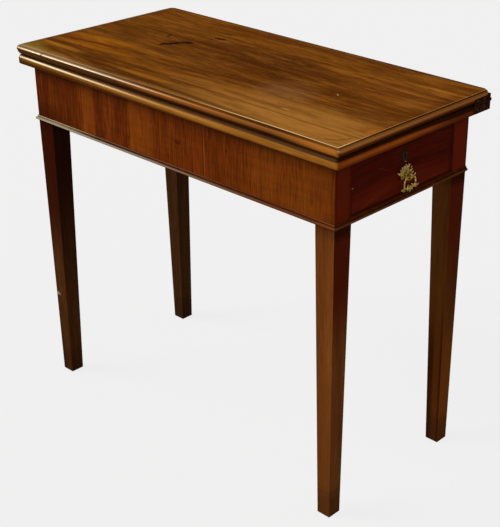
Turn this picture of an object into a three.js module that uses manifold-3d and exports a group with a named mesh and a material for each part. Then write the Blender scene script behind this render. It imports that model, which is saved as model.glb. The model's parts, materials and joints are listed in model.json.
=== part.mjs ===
import * as THREE from 'three';
import { mergeVertices } from 'three/addons/utils/BufferGeometryUtils.js';
import Module from 'manifold-3d';

// A fold-over tea table in mahogany, closed. The upper leaf folds back on two
// edge hinges, a gate leg swings out behind to carry it, and a drawer with a
// lock and a drop handle slides out of the right end.
// Millimetres, +Z up, front towards -Y, drawer end towards +X.

const wasm = await Module();
wasm.setup();

// Whole table, closed
const topLength = 840;
const topDepth = 411;
const tableHeight = 730;
const leafThickness = 17.6;
const leafGap = 0.3;

// Fits shared by all pieces
const seatGap = 0.3;
const overrun = 4;

// Edge moulding of the leaves, measured inwards from the widest line
const frontLeftCornerRadius = 16;
const frontRightCornerRadius = 8;
const upperBackCornerRadius = 18;
const lowerBackCornerRadius = 5;
const backEdgeRounding = 2.5;
const surfaceInset = 6.5;
const quirkDepth = 1.7;
const shoulderInset = 3;
const shoulderHeight = 3;
const undercutInset = 10;
const lowerEdgeInset = 2;
const lowerRoundHeight = 8;
const lowerRoundInset = 10.5;
const lowerEaseInset = 2.6;
const lowerEaseHeight = 0.8;

// Edge hinges of the leaves
const hingePlateLength = 52;
const hingeUpperPlateHeight = 11;
const hingePlateThickness = 8.4;
const hingeInset = 2.2;
const hingeEyeRadius = 3.2;
const hingePinRadius = 1.2;
const hingeAxisSetback = 0.2;
const hingeScrewHeadRadius = 3;
const hingeScrewShankRadius = 1.5;
const hingeScrewHeadDepth = 1.8;
const hingeScrewLength = 16;
const hingeScrewPlaceShares = [0.36, 0.76];

// Frieze under the top
const endOverhang = 27.5;
const frontOverhang = 25;
const backOverhang = 26;
const friezeHeight = 116.8;
const railThickness = 20;
const veneerThickness = 1.2;
const tenonThickness = 8;
const tenonLength = 24;
const tenonShoulder = 14;

// Legs
const legWidth = 42;
const footWidth = 28.6;
const footInset = 2.3;
const footChamfer = 0.4;

// Gate: rail with a wooden knuckle joint, and its leg
const gateRailThickness = 20;
const gatePivotOffset = 40;
const knuckleCount = 5;
const knuckleShoulder = 1;
const knucklePinRadius = 3;
const gateTopGap = 0.8;

// Bead moulding round the foot of the frieze
const beadProjection = 5;
const beadBase = 0.9;
const beadHeight = 6.8;
const reedProjection = 2;
const reedHeight = 2.8;
const mitreGap = 0.45;

// What carries the drawer
const drawerRailThickness = 13;
const drawerRailDepth = 60;
const drawerRailTenonLength = 15;
const drawerRailTenonThickness = 6;
const drawerRailTenonWidth = 18;
const drawerRailTenonSetback = 12;
const runnerWidth = 30;
const runnerOverreach = 32;
const guideHeight = 22;
const stopDepth = 14;
const stopWidth = 30;
const stopHeight = 4;
const stopSpreadShare = 0.58;

// Glue blocks and screws under the top
const blockClearance = 2;
const blockLength = 90;
const endBlockSize = 22;
const topScrewHeadRadius = 4;
const topScrewShankRadius = 2.2;
const topScrewHeadDepth = 2.6;
const topScrewLength = 32;
const topScrewPocketTop = 22;
const topScrewPocketHeight = 26;
const topScrewPocketEase = 1.5;

// Drawer box
const drawerBackSpace = 204.4;
const drawerFrontThickness = 20;
const drawerFaceRecess = 0.6;
const drawerSideGap = 0.5;
const drawerTopGap = 0.9;
const drawerSideDrop = 3;
const drawerBoardThickness = 8;
const drawerBottomThickness = 6;
const drawerBottomLift = 5;
const grooveDepth = 4;
const dovetailLap = 13;
const dovetailCount = 3;
const dovetailTipShare = 0.72;
const dovetailSlopeShare = 0.17;

// Keyhole and lock
const keyholeDrop = 37.8;
const keyholeRadius = 3.3;
const keyholeRise = 3.6;
const keyholeSlotHalfWidth = 1.8;
const keyholeSlotReach = 7.5;
const escutcheonWall = 1.1;
const escutcheonDepth = 5;
const lockWidth = 44;
const lockHeight = 50;
const lockDepth = 9;
const lockKeyPocket = 5;
const lockFlangeWidth = 62;
const lockFlangeThickness = 1.6;
const lockScrewHeadRadius = 2.4;
const lockScrewShankRadius = 1.3;
const lockScrewHeadDepth = 1.4;
const lockScrewLength = 9;
const boltWidth = 22;
const boltThickness = 5.6;
const boltHeight = 18;
const boltTopInset = 0.2;
const boltMortiseEase = 0.7;
const boltMortiseDepth = 9;

// Drop handle: pierced leafy plate, post with an eye, nut and drop
const handleHeight = 40;
const platePostDrop = 8;
const plateHalfWidth = 22;
const plateHalfHeight = 12.8;
const plateThickness = 2.4;
const plateLobeShare = 0.13;
const plateLobeCount = 10;
const plateHoleRadius = 2.6;
const plateHoleSpread = 12.5;
const plateHoleRise = 4;
const postRadius = 2.6;
const postEyeRadius = 4.2;
const postEyeHalfWidth = 3;
const postEyeReach = 11.8;
const nutSize = 10;
const nutThickness = 4;
const postEndLength = 1.2;
const dropWireRadius = 1.3;
const dropBodyRadius = 2.3;
const dropHalfWidth = 15.5;
const dropHeight = 20.5;
const dropShoulderWidth = 5;
const dropHoleEase = 0.4;
const dropLeafRadius = 3.1;
const dropLeafLength = 5.2;
const dropLeafThickness = 2.2;
const dropLeafSpread = 5.5;
const dropFootLength = 6.8;
const dropLobeSpread = 17;
const dropLobeReach = 7.2;
const dropLobeHeight = 2.8;
const dropLobeThickness = 2;

// Rounding steps
const arcSteps = 5;
const rodSides = 20;
const wireSides = 8;
const wireSteps = 36;

// Heights, worked out from the top down
const upperLeafBottom = tableHeight - leafThickness;
const lowerLeafTop = upperLeafBottom - leafGap;
const lowerLeafBottom = lowerLeafTop - leafThickness;
const hingeAxisZ = (upperLeafBottom + lowerLeafTop) / 2;
const friezeTop = lowerLeafBottom - seatGap;
const friezeBottom = friezeTop - friezeHeight;
const drawerRailTop = friezeBottom + drawerRailThickness;

// Places along the length
const topEnd = topLength / 2;
const friezeEnd = topEnd - endOverhang;
const legInnerX = friezeEnd - legWidth;
const endRailInner = -friezeEnd + railThickness;
const gateAxisX = -gatePivotOffset;

// Places across the depth; the hinge eyes reach past the back edge
const hingeReach = hingeAxisSetback + hingeEyeRadius;
const topFront = -(topDepth + hingeReach) / 2;
const topBack = topFront + topDepth;
const hingeAxisY = topBack + hingeAxisSetback;
const friezeFront = topFront + frontOverhang;
const friezeBack = topBack - backOverhang;
const coreFront = friezeFront + veneerThickness + seatGap;
const frontRailInner = coreFront + railThickness;
const frontLegInner = friezeFront + legWidth;
const backLegInner = friezeBack - legWidth;
const gateRailFront = friezeBack - gateRailThickness;
const innerRailBack = gateRailFront - seatGap;
const gateAxisY = friezeBack - gateRailThickness / 2;
const barrelRadius = gateRailThickness / 2;
const knuckleReach = barrelRadius + knuckleShoulder;

// Drawer places
const drawerCentreY = (frontLegInner + backLegInner) / 2;
const drawerHalfWidth = (backLegInner - frontLegInner) / 2 - drawerSideGap;
const drawerFace = friezeEnd - drawerFaceRecess;
const drawerFrontBack = drawerFace - drawerFrontThickness;
const drawerEnd = endRailInner + drawerBackSpace;
const drawerBottom = drawerRailTop + seatGap;
const drawerTop = friezeTop - drawerTopGap;
const drawerSideTop = drawerTop - drawerSideDrop;
const panelBottom = drawerBottom + drawerBottomLift;
const panelTop = panelBottom + drawerBottomThickness;
const runnerEnd = drawerEnd - runnerOverreach;

const group = new THREE.Group();

// Finishes
function finish(colour, roughness, metalness) {
  return () => new THREE.MeshStandardMaterial({ color: colour, roughness, metalness });
}
const polishedMahogany = finish(0x8a4f1c, 0.35, 0);
const darkMahogany = finish(0x5a2412, 0.42, 0);
const veneer = finish(0x7c3c12, 0.38, 0);
const pine = finish(0xa8804c, 0.75, 0);
const oak = finish(0x8f6c3e, 0.7, 0);
const gildedBrass = finish(0xb59a45, 0.35, 1);
const agedBrass = finish(0x4a3d24, 0.5, 1);
const iron = finish(0x3a3733, 0.6, 1);

// Closed solids from shapes
function solidFrom(geometry) {
  const bare = geometry.clone();
  bare.deleteAttribute('normal');
  bare.deleteAttribute('uv');
  const merged = mergeVertices(bare);
  const source = merged.index.array;
  const triVerts = [];
  for (let i = 0; i < source.length; i += 3) {
    const [a, b, c] = [source[i], source[i + 1], source[i + 2]];
    const distinct = a !== b && b !== c && c !== a;
    if (distinct) triVerts.push(a, b, c);
  }
  const vertProperties = new Float32Array(merged.attributes.position.array);
  return new wasm.Manifold(new wasm.Mesh({
    numProp: 3,
    vertProperties,
    triVerts: new Uint32Array(triVerts),
  }));
}

function geometryFrom(solid) {
  const mesh = solid.getMesh();
  const geometry = new THREE.BufferGeometry();
  geometry.setAttribute('position', new THREE.BufferAttribute(mesh.vertProperties, 3));
  geometry.setIndex(new THREE.BufferAttribute(mesh.triVerts, 1));
  geometry.computeVertexNormals();
  return geometry;
}

// Block between two corners
function block(x0, x1, y0, y1, z0, z1) {
  const geometry = new THREE.BoxGeometry(x1 - x0, y1 - y0, z1 - z0);
  geometry.translate((x0 + x1) / 2, (y0 + y1) / 2, (z0 + z1) / 2);
  return solidFrom(geometry);
}

// Outline of [u, v] points pushed from one place to another along an axis
function prism(outline, axis, from, to) {
  const shape = new THREE.Shape(outline.map(([u, v]) => new THREE.Vector2(u, v)));
  const geometry = new THREE.ExtrudeGeometry(shape, { depth: to - from, bevelEnabled: false });
  const basis = new THREE.Matrix4();
  const unitX = new THREE.Vector3(1, 0, 0);
  const unitY = new THREE.Vector3(0, 1, 0);
  const unitZ = new THREE.Vector3(0, 0, 1);
  if (axis === 'x') {
    basis.makeBasis(unitY, unitZ, unitX);
    basis.setPosition(from, 0, 0);
  }
  if (axis === 'y') {
    basis.makeBasis(unitX, unitZ, unitY.negate());
    basis.setPosition(0, to, 0);
  }
  if (axis === 'z') {
    basis.setPosition(0, 0, from);
  }
  geometry.applyMatrix4(basis);
  return solidFrom(geometry);
}

function circle(u, v, radius, sides) {
  const points = [];
  for (let i = 0; i < sides; i += 1) {
    const angle = (i / sides) * Math.PI * 2;
    points.push([u + radius * Math.cos(angle), v + radius * Math.sin(angle)]);
  }
  return points;
}

// Surface through rings of points, closed by flat ends; with loop it closes on itself
function loft(rings, outline, loop = false) {
  const count = rings[0].length;
  const points = rings.flat();
  const index = [];
  const spans = loop ? rings.length : rings.length - 1;
  for (let ring = 0; ring < spans; ring += 1) {
    for (let i = 0; i < count; i += 1) {
      const next = (i + 1) % count;
      const low = ring * count;
      const high = ((ring + 1) % rings.length) * count;
      index.push(low + i, low + next, high + next);
      index.push(low + i, high + next, high + i);
    }
  }
  if (!loop) {
    const last = (rings.length - 1) * count;
    const flat = outline.map(([u, v]) => new THREE.Vector2(u, v));
    const turn = Math.sign(THREE.ShapeUtils.area(flat));
    for (const face of THREE.ShapeUtils.triangulateShape(flat, [])) {
      const faceTurn = Math.sign(THREE.ShapeUtils.area(face.map((i) => flat[i])));
      const [a, b, c] = faceTurn === turn ? face : [face[2], face[1], face[0]];
      index.push(c, b, a);
      index.push(last + a, last + b, last + c);
    }
  }
  const outward = signedVolume(points, index) > 0 ? index : index.reverse();
  const geometry = new THREE.BufferGeometry();
  geometry.setFromPoints(points);
  geometry.setIndex(outward);
  return solidFrom(geometry);
}

function signedVolume(points, index) {
  const cross = new THREE.Vector3();
  let sum = 0;
  for (let i = 0; i < index.length; i += 3) {
    cross.crossVectors(points[index[i + 1]], points[index[i + 2]]);
    sum += points[index[i]].dot(cross);
  }
  return sum;
}

function joined(solids) {
  return solids.reduce((whole, solid) => whole.add(solid));
}

function cut(solid, cutters) {
  return cutters.reduce((left, cutter) => left.subtract(cutter), solid);
}

function addPart(name, solid, makeMaterial) {
  const mesh = new THREE.Mesh(geometryFrom(solid), makeMaterial());
  mesh.name = name;
  group.add(mesh);
}

// Slotted wood screw with its head at a place, pointing along a direction
function screw(sizes, place, direction, grow = 0) {
  const head = sizes.headRadius + grow;
  const shank = sizes.shankRadius + grow;
  const tip = sizes.length + grow;
  const taper = sizes.shankRadius * 2;
  const profile = [
    new THREE.Vector2(0, -grow),
    new THREE.Vector2(head, -grow),
    new THREE.Vector2(head, 0),
    new THREE.Vector2(shank, sizes.headDepth),
    new THREE.Vector2(shank, tip - taper),
    new THREE.Vector2(0, tip),
  ];
  if (grow === 0) profile.splice(2, 1);
  const geometry = new THREE.LatheGeometry(profile, rodSides / 2);
  const turn = new THREE.Quaternion();
  turn.setFromUnitVectors(new THREE.Vector3(0, 1, 0), direction);
  geometry.applyQuaternion(turn);
  geometry.translate(place.x, place.y, place.z);
  return turnedSolid(geometry);
}

// Lathe faces may point inwards, so they are turned the right way here
function turnedSolid(geometry) {
  const points = [];
  const position = geometry.attributes.position;
  for (let i = 0; i < position.count; i += 1) {
    points.push(new THREE.Vector3().fromBufferAttribute(position, i));
  }
  const index = Array.from(geometry.index.array);
  if (signedVolume(points, index) < 0) geometry.setIndex(index.reverse());
  return solidFrom(geometry);
}

// Leaves

// Outline of a leaf from above at one height; the back edge is straight
function leafRing({ z, inset, backRadius, backInset }) {
  const corners = [
    { x: 1, y: -1, radius: frontRightCornerRadius - inset, start: -Math.PI / 2 },
    { x: 1, y: 1, radius: backRadius, start: 0 },
    { x: -1, y: 1, radius: backRadius, start: Math.PI / 2 },
    { x: -1, y: -1, radius: frontLeftCornerRadius - inset, start: Math.PI },
  ];
  const ring = [];
  for (const corner of corners) {
    const radius = Math.max(corner.radius, seatGap);
    const edgeY = corner.y > 0 ? topBack - backInset : topFront + inset;
    const centreX = corner.x * (topEnd - inset - radius);
    const centreY = edgeY - corner.y * radius;
    for (let step = 0; step <= arcSteps; step += 1) {
      const angle = corner.start + (step / arcSteps) * (Math.PI / 2);
      const x = centreX + radius * Math.cos(angle);
      const y = centreY + radius * Math.sin(angle);
      ring.push(new THREE.Vector3(x, y, z));
    }
  }
  return ring;
}

// Quarter of an ellipse between two [z, inset] points; the bulge faces outwards
function quarterRound(from, to, verticalFirst) {
  const points = [];
  for (let step = 0; step <= arcSteps; step += 1) {
    const angle = (step / arcSteps) * (Math.PI / 2);
    const early = Math.sin(angle);
    const late = 1 - Math.cos(angle);
    const zShare = verticalFirst ? early : late;
    const insetShare = verticalFirst ? late : early;
    const z = from[0] + (to[0] - from[0]) * zShare;
    const inset = from[1] + (to[1] - from[1]) * insetShare;
    points.push([z, inset]);
  }
  return points;
}

function leafBody(levels) {
  const rings = levels.map(leafRing);
  return loft(rings, rings[0].map((point) => [point.x, point.y]));
}

const quirkZ = tableHeight - quirkDepth;
const ridgeZ = quirkZ - shoulderHeight;
const upperProfile = [
  ...quarterRound([ridgeZ, 0], [upperLeafBottom, undercutInset], true).reverse(),
  ...quarterRound([ridgeZ, 0], [quirkZ, shoulderInset], true).slice(1),
  [quirkZ, surfaceInset],
  [(quirkZ + tableHeight) / 2, surfaceInset],
  [tableHeight, surfaceInset],
];

// Back corners are round at the widest line and turn square in the undercut
function upperLevel([z, inset]) {
  const squared = upperBackCornerRadius * (1 - inset / undercutInset);
  const backRadius = z < ridgeZ ? squared : upperBackCornerRadius - inset;
  const riseShare = Math.min(Math.max(1 - (tableHeight - z) / backEdgeRounding, 0), 1);
  const backInset = backEdgeRounding * (1 - Math.sqrt(1 - riseShare ** 2));
  return { z, inset, backRadius, backInset };
}

function lowerLevel([z, inset]) {
  const backRadius = lowerBackCornerRadius * (1 - inset / lowerRoundInset);
  return { z, inset, backRadius, backInset: 0 };
}
const lowerRoundZ = lowerLeafTop - lowerRoundHeight;
const lowerProfile = [
  [lowerLeafBottom, lowerEaseInset],
  [lowerLeafBottom + lowerEaseHeight, lowerEdgeInset],
  ...quarterRound([lowerRoundZ, lowerEdgeInset], [lowerLeafTop, lowerRoundInset], true),
];

// Edge hinges: a plate let into each leaf, their eyes halved together on a pin

// Plate outline in [y, z], rounded at its front end
function plateOutline(low, high, back, grow) {
  const middle = (low + high) / 2;
  const radius = (high - low) / 2 + grow;
  const frontCentre = hingeAxisY - hingePlateLength + (high - low) / 2;
  const points = [[back, middle - radius], [back, middle + radius]];
  for (let step = 0; step <= arcSteps * 2; step += 1) {
    const angle = Math.PI / 2 + (step / (arcSteps * 2)) * Math.PI;
    points.push([frontCentre + radius * Math.cos(angle), middle + radius * Math.sin(angle)]);
  }
  return points;
}

const hingePlates = {
  upper: [upperLeafBottom, upperLeafBottom + hingeUpperPlateHeight],
  lower: [lowerLeafBottom, lowerLeafTop],
};
const hingeOuter = topEnd - hingeInset;
const hingeInner = hingeOuter - hingePlateThickness;
const hingeMiddle = (hingeOuter + hingeInner) / 2;
const hingeScrewSizes = {
  headRadius: hingeScrewHeadRadius,
  shankRadius: hingeScrewShankRadius,
  headDepth: hingeScrewHeadDepth,
  length: hingeScrewLength,
};

// Prism between two distances from the middle of the table, on either side
function endPrism(side, outline, near, far) {
  const [from, to] = side > 0 ? [near, far] : [-far, -near];
  return prism(outline, 'x', from, to);
}

function hingeScrews(side, level, grow) {
  const [low, high] = hingePlates[level];
  return hingeScrewPlaceShares.map((share) => {
    const y = hingeAxisY - hingePlateLength * share;
    const place = new THREE.Vector3(side * hingeOuter, y, (low + high) / 2);
    return screw(hingeScrewSizes, place, new THREE.Vector3(-side, 0, 0), grow);
  });
}

function hingePlate(side, level) {
  const [low, high] = hingePlates[level];
  const body = endPrism(side, plateOutline(low, high, topBack, 0), hingeInner, hingeOuter);
  const eye = circle(hingeAxisY, hingeAxisZ, hingeEyeRadius, rodSides);
  const room = circle(hingeAxisY, hingeAxisZ, hingeEyeRadius + seatGap, rodSides);
  const hole = circle(hingeAxisY, hingeAxisZ, hingePinRadius + seatGap, rodSides / 2);
  const halfGap = seatGap / 2;
  const ownEye = level === 'lower'
    ? endPrism(side, eye, hingeMiddle + halfGap, hingeOuter)
    : endPrism(side, eye, hingeInner, hingeMiddle - halfGap);
  const otherRoom = level === 'lower'
    ? endPrism(side, room, hingeInner - overrun, hingeMiddle + halfGap)
    : endPrism(side, room, hingeMiddle - halfGap, hingeOuter + overrun);
  const pinHole = endPrism(side, hole, hingeInner - overrun, hingeOuter + overrun);
  const shaped = cut(body, [otherRoom]).add(ownEye);
  return cut(shaped, [pinHole, ...hingeScrews(side, level, seatGap)]);
}

function hingeRecess(side, level) {
  const [low, high] = hingePlates[level];
  const outline = plateOutline(low, high, topBack + overrun, seatGap);
  return endPrism(side, outline, hingeInner - seatGap, topEnd + overrun);
}

function hingeCuts(level) {
  const cuts = [];
  for (const side of [-1, 1]) {
    cuts.push(hingeRecess(side, level), ...hingeScrews(side, level, seatGap));
  }
  return cuts;
}

// Screws that hold the top to the rails from pockets inside the frame
const topScrewSizes = {
  headRadius: topScrewHeadRadius,
  shankRadius: topScrewShankRadius,
  headDepth: topScrewHeadDepth,
  length: topScrewLength,
};
const topScrewZ = friezeTop - topScrewPocketTop;
const innerRailMiddle = (backLegInner + innerRailBack) / 2;
const frontRailMiddle = (coreFront + frontRailInner) / 2;
const endRailMiddle = -friezeEnd + railThickness / 2;
const topScrewPlaces = {
  top_screw_front_left: [-friezeEnd / 2, frontRailMiddle],
  top_screw_front_right: [friezeEnd / 2, frontRailMiddle],
  top_screw_back: [friezeEnd / 4, innerRailMiddle],
  top_screw_left_end: [endRailMiddle, drawerCentreY],
};

function topScrew(name, grow) {
  const [x, y] = topScrewPlaces[name];
  const place = new THREE.Vector3(x, y, topScrewZ);
  return screw(topScrewSizes, place, new THREE.Vector3(0, 0, 1), grow);
}

// Pocket round a screw head, open towards the inside of the frame
function screwPocket(name, toX, toY) {
  const [x, y] = topScrewPlaces[name];
  const half = topScrewHeadRadius + topScrewPocketEase;
  const x0 = Math.min(x - half, toX ?? x);
  const x1 = Math.max(x + half, toX ?? x);
  const y0 = Math.min(y - half, toY ?? y);
  const y1 = Math.max(y + half, toY ?? y);
  const low = topScrewZ - topScrewPocketHeight;
  return block(x0, x1, y0, y1, low, topScrewZ);
}

// Lock bolt place, needed by the leaf above it
const boltX = drawerFrontBack + lockDepth / 2;

function boltMortise() {
  const halfX = boltThickness / 2 + boltMortiseEase;
  const halfY = boltWidth / 2 + boltMortiseEase;
  const top = lowerLeafBottom + boltMortiseDepth;
  const low = lowerLeafBottom - overrun;
  return block(boltX - halfX, boltX + halfX, drawerCentreY - halfY, drawerCentreY + halfY, low, top);
}

const upperBody = leafBody(upperProfile.map(upperLevel));
const lowerBody = leafBody(lowerProfile.map(lowerLevel));
addPart('upper_leaf', cut(upperBody, hingeCuts('upper')), polishedMahogany);
addPart('lower_leaf', cut(lowerBody, [
  ...hingeCuts('lower'),
  ...Object.keys(topScrewPlaces).map((name) => topScrew(name, seatGap)),
  boltMortise(),
]), polishedMahogany);

const sides = { left: -1, right: 1 };
for (const [sideName, side] of Object.entries(sides)) {
  for (const level of ['upper', 'lower']) {
    addPart(`${sideName}_hinge_${level}_plate`, hingePlate(side, level), agedBrass);
    hingeScrews(side, level, 0).forEach((solid, i) => {
      addPart(`${sideName}_hinge_${level}_screw_${i + 1}`, solid, agedBrass);
    });
  }
  const pin = circle(hingeAxisY, hingeAxisZ, hingePinRadius, rodSides / 2);
  addPart(`${sideName}_hinge_pin`, endPrism(side, pin, hingeInner, hingeOuter), agedBrass);
}
for (const name of Object.keys(topScrewPlaces)) {
  addPart(name, topScrew(name, 0), iron);
}

// Legs: square, tapered from the frieze down, mostly on their inner faces

// Rectangle of a leg at one height; sx and sy say which corner of the table it stands at
function legRing(sx, sy, inset, width, z, yLimits) {
  const outerX = sx * (friezeEnd - inset);
  const innerX = sx * (friezeEnd - inset - width);
  const outerY = sy > 0 ? friezeBack - inset : friezeFront + inset;
  const innerY = outerY - sy * width;
  const [x0, x1] = [Math.min(outerX, innerX), Math.max(outerX, innerX)];
  const [y0, y1] = yLimits ?? [Math.min(outerY, innerY), Math.max(outerY, innerY)];
  return [
    new THREE.Vector3(x0, y0, z),
    new THREE.Vector3(x1, y0, z),
    new THREE.Vector3(x1, y1, z),
    new THREE.Vector3(x0, y1, z),
  ];
}

function leg(sx, sy, shoulderZ, topZ, upperLimits) {
  const rings = [
    legRing(sx, sy, footInset + footChamfer, footWidth - footChamfer * 2, 0),
    legRing(sx, sy, footInset, footWidth, footChamfer),
    legRing(sx, sy, 0, legWidth, shoulderZ),
    legRing(sx, sy, 0, legWidth, shoulderZ, upperLimits),
    legRing(sx, sy, 0, legWidth, topZ, upperLimits),
  ];
  const kept = upperLimits ? rings : rings.filter((ring, i) => i !== 3);
  return loft(kept, kept[0].map((point) => [point.x, point.y]));
}

// Rails and the tenons that hold them to the legs
const tenonLow = friezeBottom + tenonShoulder;
const tenonHigh = friezeTop - tenonShoulder;

// Tenon along X, reaching into a leg on the side given
function tenonX(side, y, grow) {
  const half = tenonThickness / 2 + grow;
  const near = legInnerX - seatGap - overrun;
  const far = legInnerX + tenonLength + grow;
  const [x0, x1] = side > 0 ? [near, far] : [-far, -near];
  return block(x0, x1, y - half, y + half, tenonLow - grow, tenonHigh + grow);
}

function tenonEndRail(grow) {
  const half = tenonThickness / 2 + grow;
  const y0 = frontLegInner - tenonLength - grow;
  const y1 = frontLegInner + seatGap + overrun;
  return block(endRailMiddle - half, endRailMiddle + half, y0, y1, tenonLow - grow, tenonHigh + grow);
}

// Tenon of the drawer rail, into the front leg for -1 and the back leg for 1
function tenonDrawerRail(side, grow) {
  const halfZ = drawerRailTenonThickness / 2 + grow;
  const z = friezeBottom + drawerRailThickness / 2;
  const x1 = friezeEnd - drawerRailTenonSetback + grow;
  const x0 = x1 - drawerRailTenonWidth - grow * 2;
  const reach = drawerRailTenonLength + grow;
  const [y0, y1] = side > 0
    ? [backLegInner - seatGap - overrun, backLegInner + reach]
    : [frontLegInner - reach, frontLegInner + seatGap + overrun];
  return block(x0, x1, y0, y1, z - halfZ, z + halfZ);
}

const frontUpper = [coreFront, frontLegInner];
const gateUpper = [gateRailFront, friezeBack];
addPart('front_left_leg', cut(leg(-1, -1, friezeBottom, friezeTop, frontUpper), [
  tenonX(-1, frontRailMiddle, seatGap),
  tenonEndRail(seatGap),
]), darkMahogany);
addPart('front_right_leg', cut(leg(1, -1, friezeBottom, friezeTop, frontUpper), [
  tenonX(1, frontRailMiddle, seatGap),
  tenonDrawerRail(-1, seatGap),
]), darkMahogany);
addPart('rear_right_leg', cut(leg(1, 1, friezeBottom, friezeTop), [
  tenonX(1, innerRailMiddle, seatGap),
  tenonX(1, gateAxisY, seatGap),
  tenonDrawerRail(1, seatGap),
]), darkMahogany);
const gateShoulder = friezeBottom - seatGap;
const gateTop = friezeTop - gateTopGap;
addPart('gate_leg', cut(leg(-1, 1, gateShoulder, gateTop, gateUpper), [
  tenonX(-1, gateAxisY, seatGap),
]), darkMahogany);

// Front rail in pine, faced with a veneer that runs across the legs
const railEnd = legInnerX - seatGap;
const frontRail = joined([
  block(-railEnd, railEnd, coreFront, frontRailInner, friezeBottom, friezeTop),
  tenonX(-1, frontRailMiddle, 0),
  tenonX(1, frontRailMiddle, 0),
]);
addPart('front_rail', cut(frontRail, [
  screwPocket('top_screw_front_left', null, frontRailInner + overrun),
  topScrew('top_screw_front_left', seatGap),
  screwPocket('top_screw_front_right', null, frontRailInner + overrun),
  topScrew('top_screw_front_right', seatGap),
]), pine);
const veneerBack = friezeFront + veneerThickness;
addPart('front_veneer', block(
  -friezeEnd, friezeEnd, friezeFront, veneerBack, friezeBottom, friezeTop,
), veneer);

// Left end rail, held to the front leg and lapping the gate leg's rebate
const endRail = joined([
  block(-friezeEnd, endRailInner, frontLegInner + seatGap, innerRailBack, friezeBottom, friezeTop),
  tenonEndRail(0),
]);
addPart('left_end_rail', cut(endRail, [
  screwPocket('top_screw_left_end', endRailInner + overrun, null),
  topScrew('top_screw_left_end', seatGap),
]), darkMahogany);

// Inner back rail, which guides the back of the drawer
const innerBackRail = joined([
  block(endRailInner + seatGap, railEnd, backLegInner, innerRailBack, friezeBottom, friezeTop),
  tenonX(1, innerRailMiddle, 0),
]);
addPart('inner_back_rail', cut(innerBackRail, [
  screwPocket('top_screw_back', null, backLegInner - overrun),
  topScrew('top_screw_back', seatGap),
]), pine);

// Wooden knuckle joint of the gate: fingers of the two rails turn on one pin
const fingerHeight = friezeHeight / knuckleCount;
const knuckleHole = circle(gateAxisX, gateAxisY, knucklePinRadius + seatGap, rodSides);

// Fingers of one rail; side is the way from the pin to its rail
function fingers(side, first) {
  const solids = [];
  const reach = gateAxisX + side * (knuckleReach + overrun);
  const [x0, x1] = [Math.min(gateAxisX, reach), Math.max(gateAxisX, reach)];
  for (let i = first; i < knuckleCount; i += 2) {
    const low = friezeBottom + i * fingerHeight + (i > 0 ? seatGap / 2 : 0);
    const high = friezeBottom + (i + 1) * fingerHeight - (i < knuckleCount - 1 ? seatGap / 2 : 0);
    const barrel = circle(gateAxisX, gateAxisY, barrelRadius, rodSides);
    solids.push(prism(barrel, 'z', low, high));
    solids.push(block(x0, x1, gateRailFront, friezeBack, low, high));
  }
  return solids;
}

const fixedStart = gateAxisX + knuckleReach;
const knuckleBore = prism(knuckleHole, 'z', friezeBottom - overrun, friezeTop + overrun);
const fixedRail = joined([
  block(fixedStart, railEnd, gateRailFront, friezeBack, friezeBottom, friezeTop),
  tenonX(1, gateAxisY, 0),
  ...fingers(1, 0),
]);
addPart('fixed_knuckle_rail', cut(fixedRail, [knuckleBore]), oak);
const gateStart = gateAxisX - knuckleReach;
const gateRail = joined([
  block(-railEnd, gateStart, gateRailFront, friezeBack, friezeBottom, gateTop),
  tenonX(-1, gateAxisY, 0),
  ...fingers(-1, 1),
]);
addPart('gate_rail', cut(gateRail, [knuckleBore]), oak);
const knucklePin = circle(gateAxisX, gateAxisY, knucklePinRadius, rodSides);
addPart('gate_hinge_pin', prism(knucklePin, 'z', friezeBottom, friezeTop), iron);

// Bead moulding: a half round with a small reed above it, in [projection, height]
function beadProfile() {
  const points = [[seatGap, 0]];
  const steps = arcSteps + 1;
  for (let step = 0; step <= steps; step += 1) {
    const angle = (step / steps - 1 / 2) * Math.PI;
    const out = beadBase + (beadProjection - beadBase) * Math.cos(angle);
    points.push([out, (beadHeight / 2) * (1 + Math.sin(angle))]);
  }
  for (let step = 1; step <= steps; step += 1) {
    const angle = (step / steps - 1 / 2) * Math.PI;
    const out = beadBase + (reedProjection - beadBase) * Math.cos(angle);
    points.push([out, beadHeight + (reedHeight / 2) * (1 + Math.sin(angle))]);
  }
  points.push([seatGap, beadHeight + reedHeight]);
  return points;
}

const beadOutline = beadProfile();

function frontBead() {
  const end = (side) => beadOutline.map(([out, up]) => (
    new THREE.Vector3(side * (friezeEnd + out), friezeFront - out, friezeBottom + up)
  ));
  return loft([end(-1), end(1)], beadOutline);
}

// Bead along an end, mitred to the front bead or cut square
function endBead(side, startY, endY, mitred) {
  const ring = (place) => beadOutline.map(([out, up]) => (
    new THREE.Vector3(side * (friezeEnd + out), place(out), friezeBottom + up)
  ));
  const start = ring((out) => (mitred ? startY - out : startY));
  return loft([start, ring(() => endY)], beadOutline);
}

addPart('front_bead', frontBead(), darkMahogany);
addPart('right_end_bead', endBead(1, friezeFront + mitreGap, friezeBack, true), darkMahogany);
addPart('left_end_bead', endBead(-1, friezeFront + mitreGap, innerRailBack, true), darkMahogany);
addPart('gate_leg_bead', endBead(-1, gateRailFront, friezeBack, false), darkMahogany);

// Rail under the drawer, runners, guide and stops
const drawerRailBack = friezeEnd - drawerRailDepth;
addPart('drawer_rail', joined([
  block(
    drawerRailBack, friezeEnd,
    frontLegInner + seatGap, backLegInner - seatGap,
    friezeBottom, drawerRailTop,
  ),
  tenonDrawerRail(-1, 0),
  tenonDrawerRail(1, 0),
]), darkMahogany);

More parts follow.
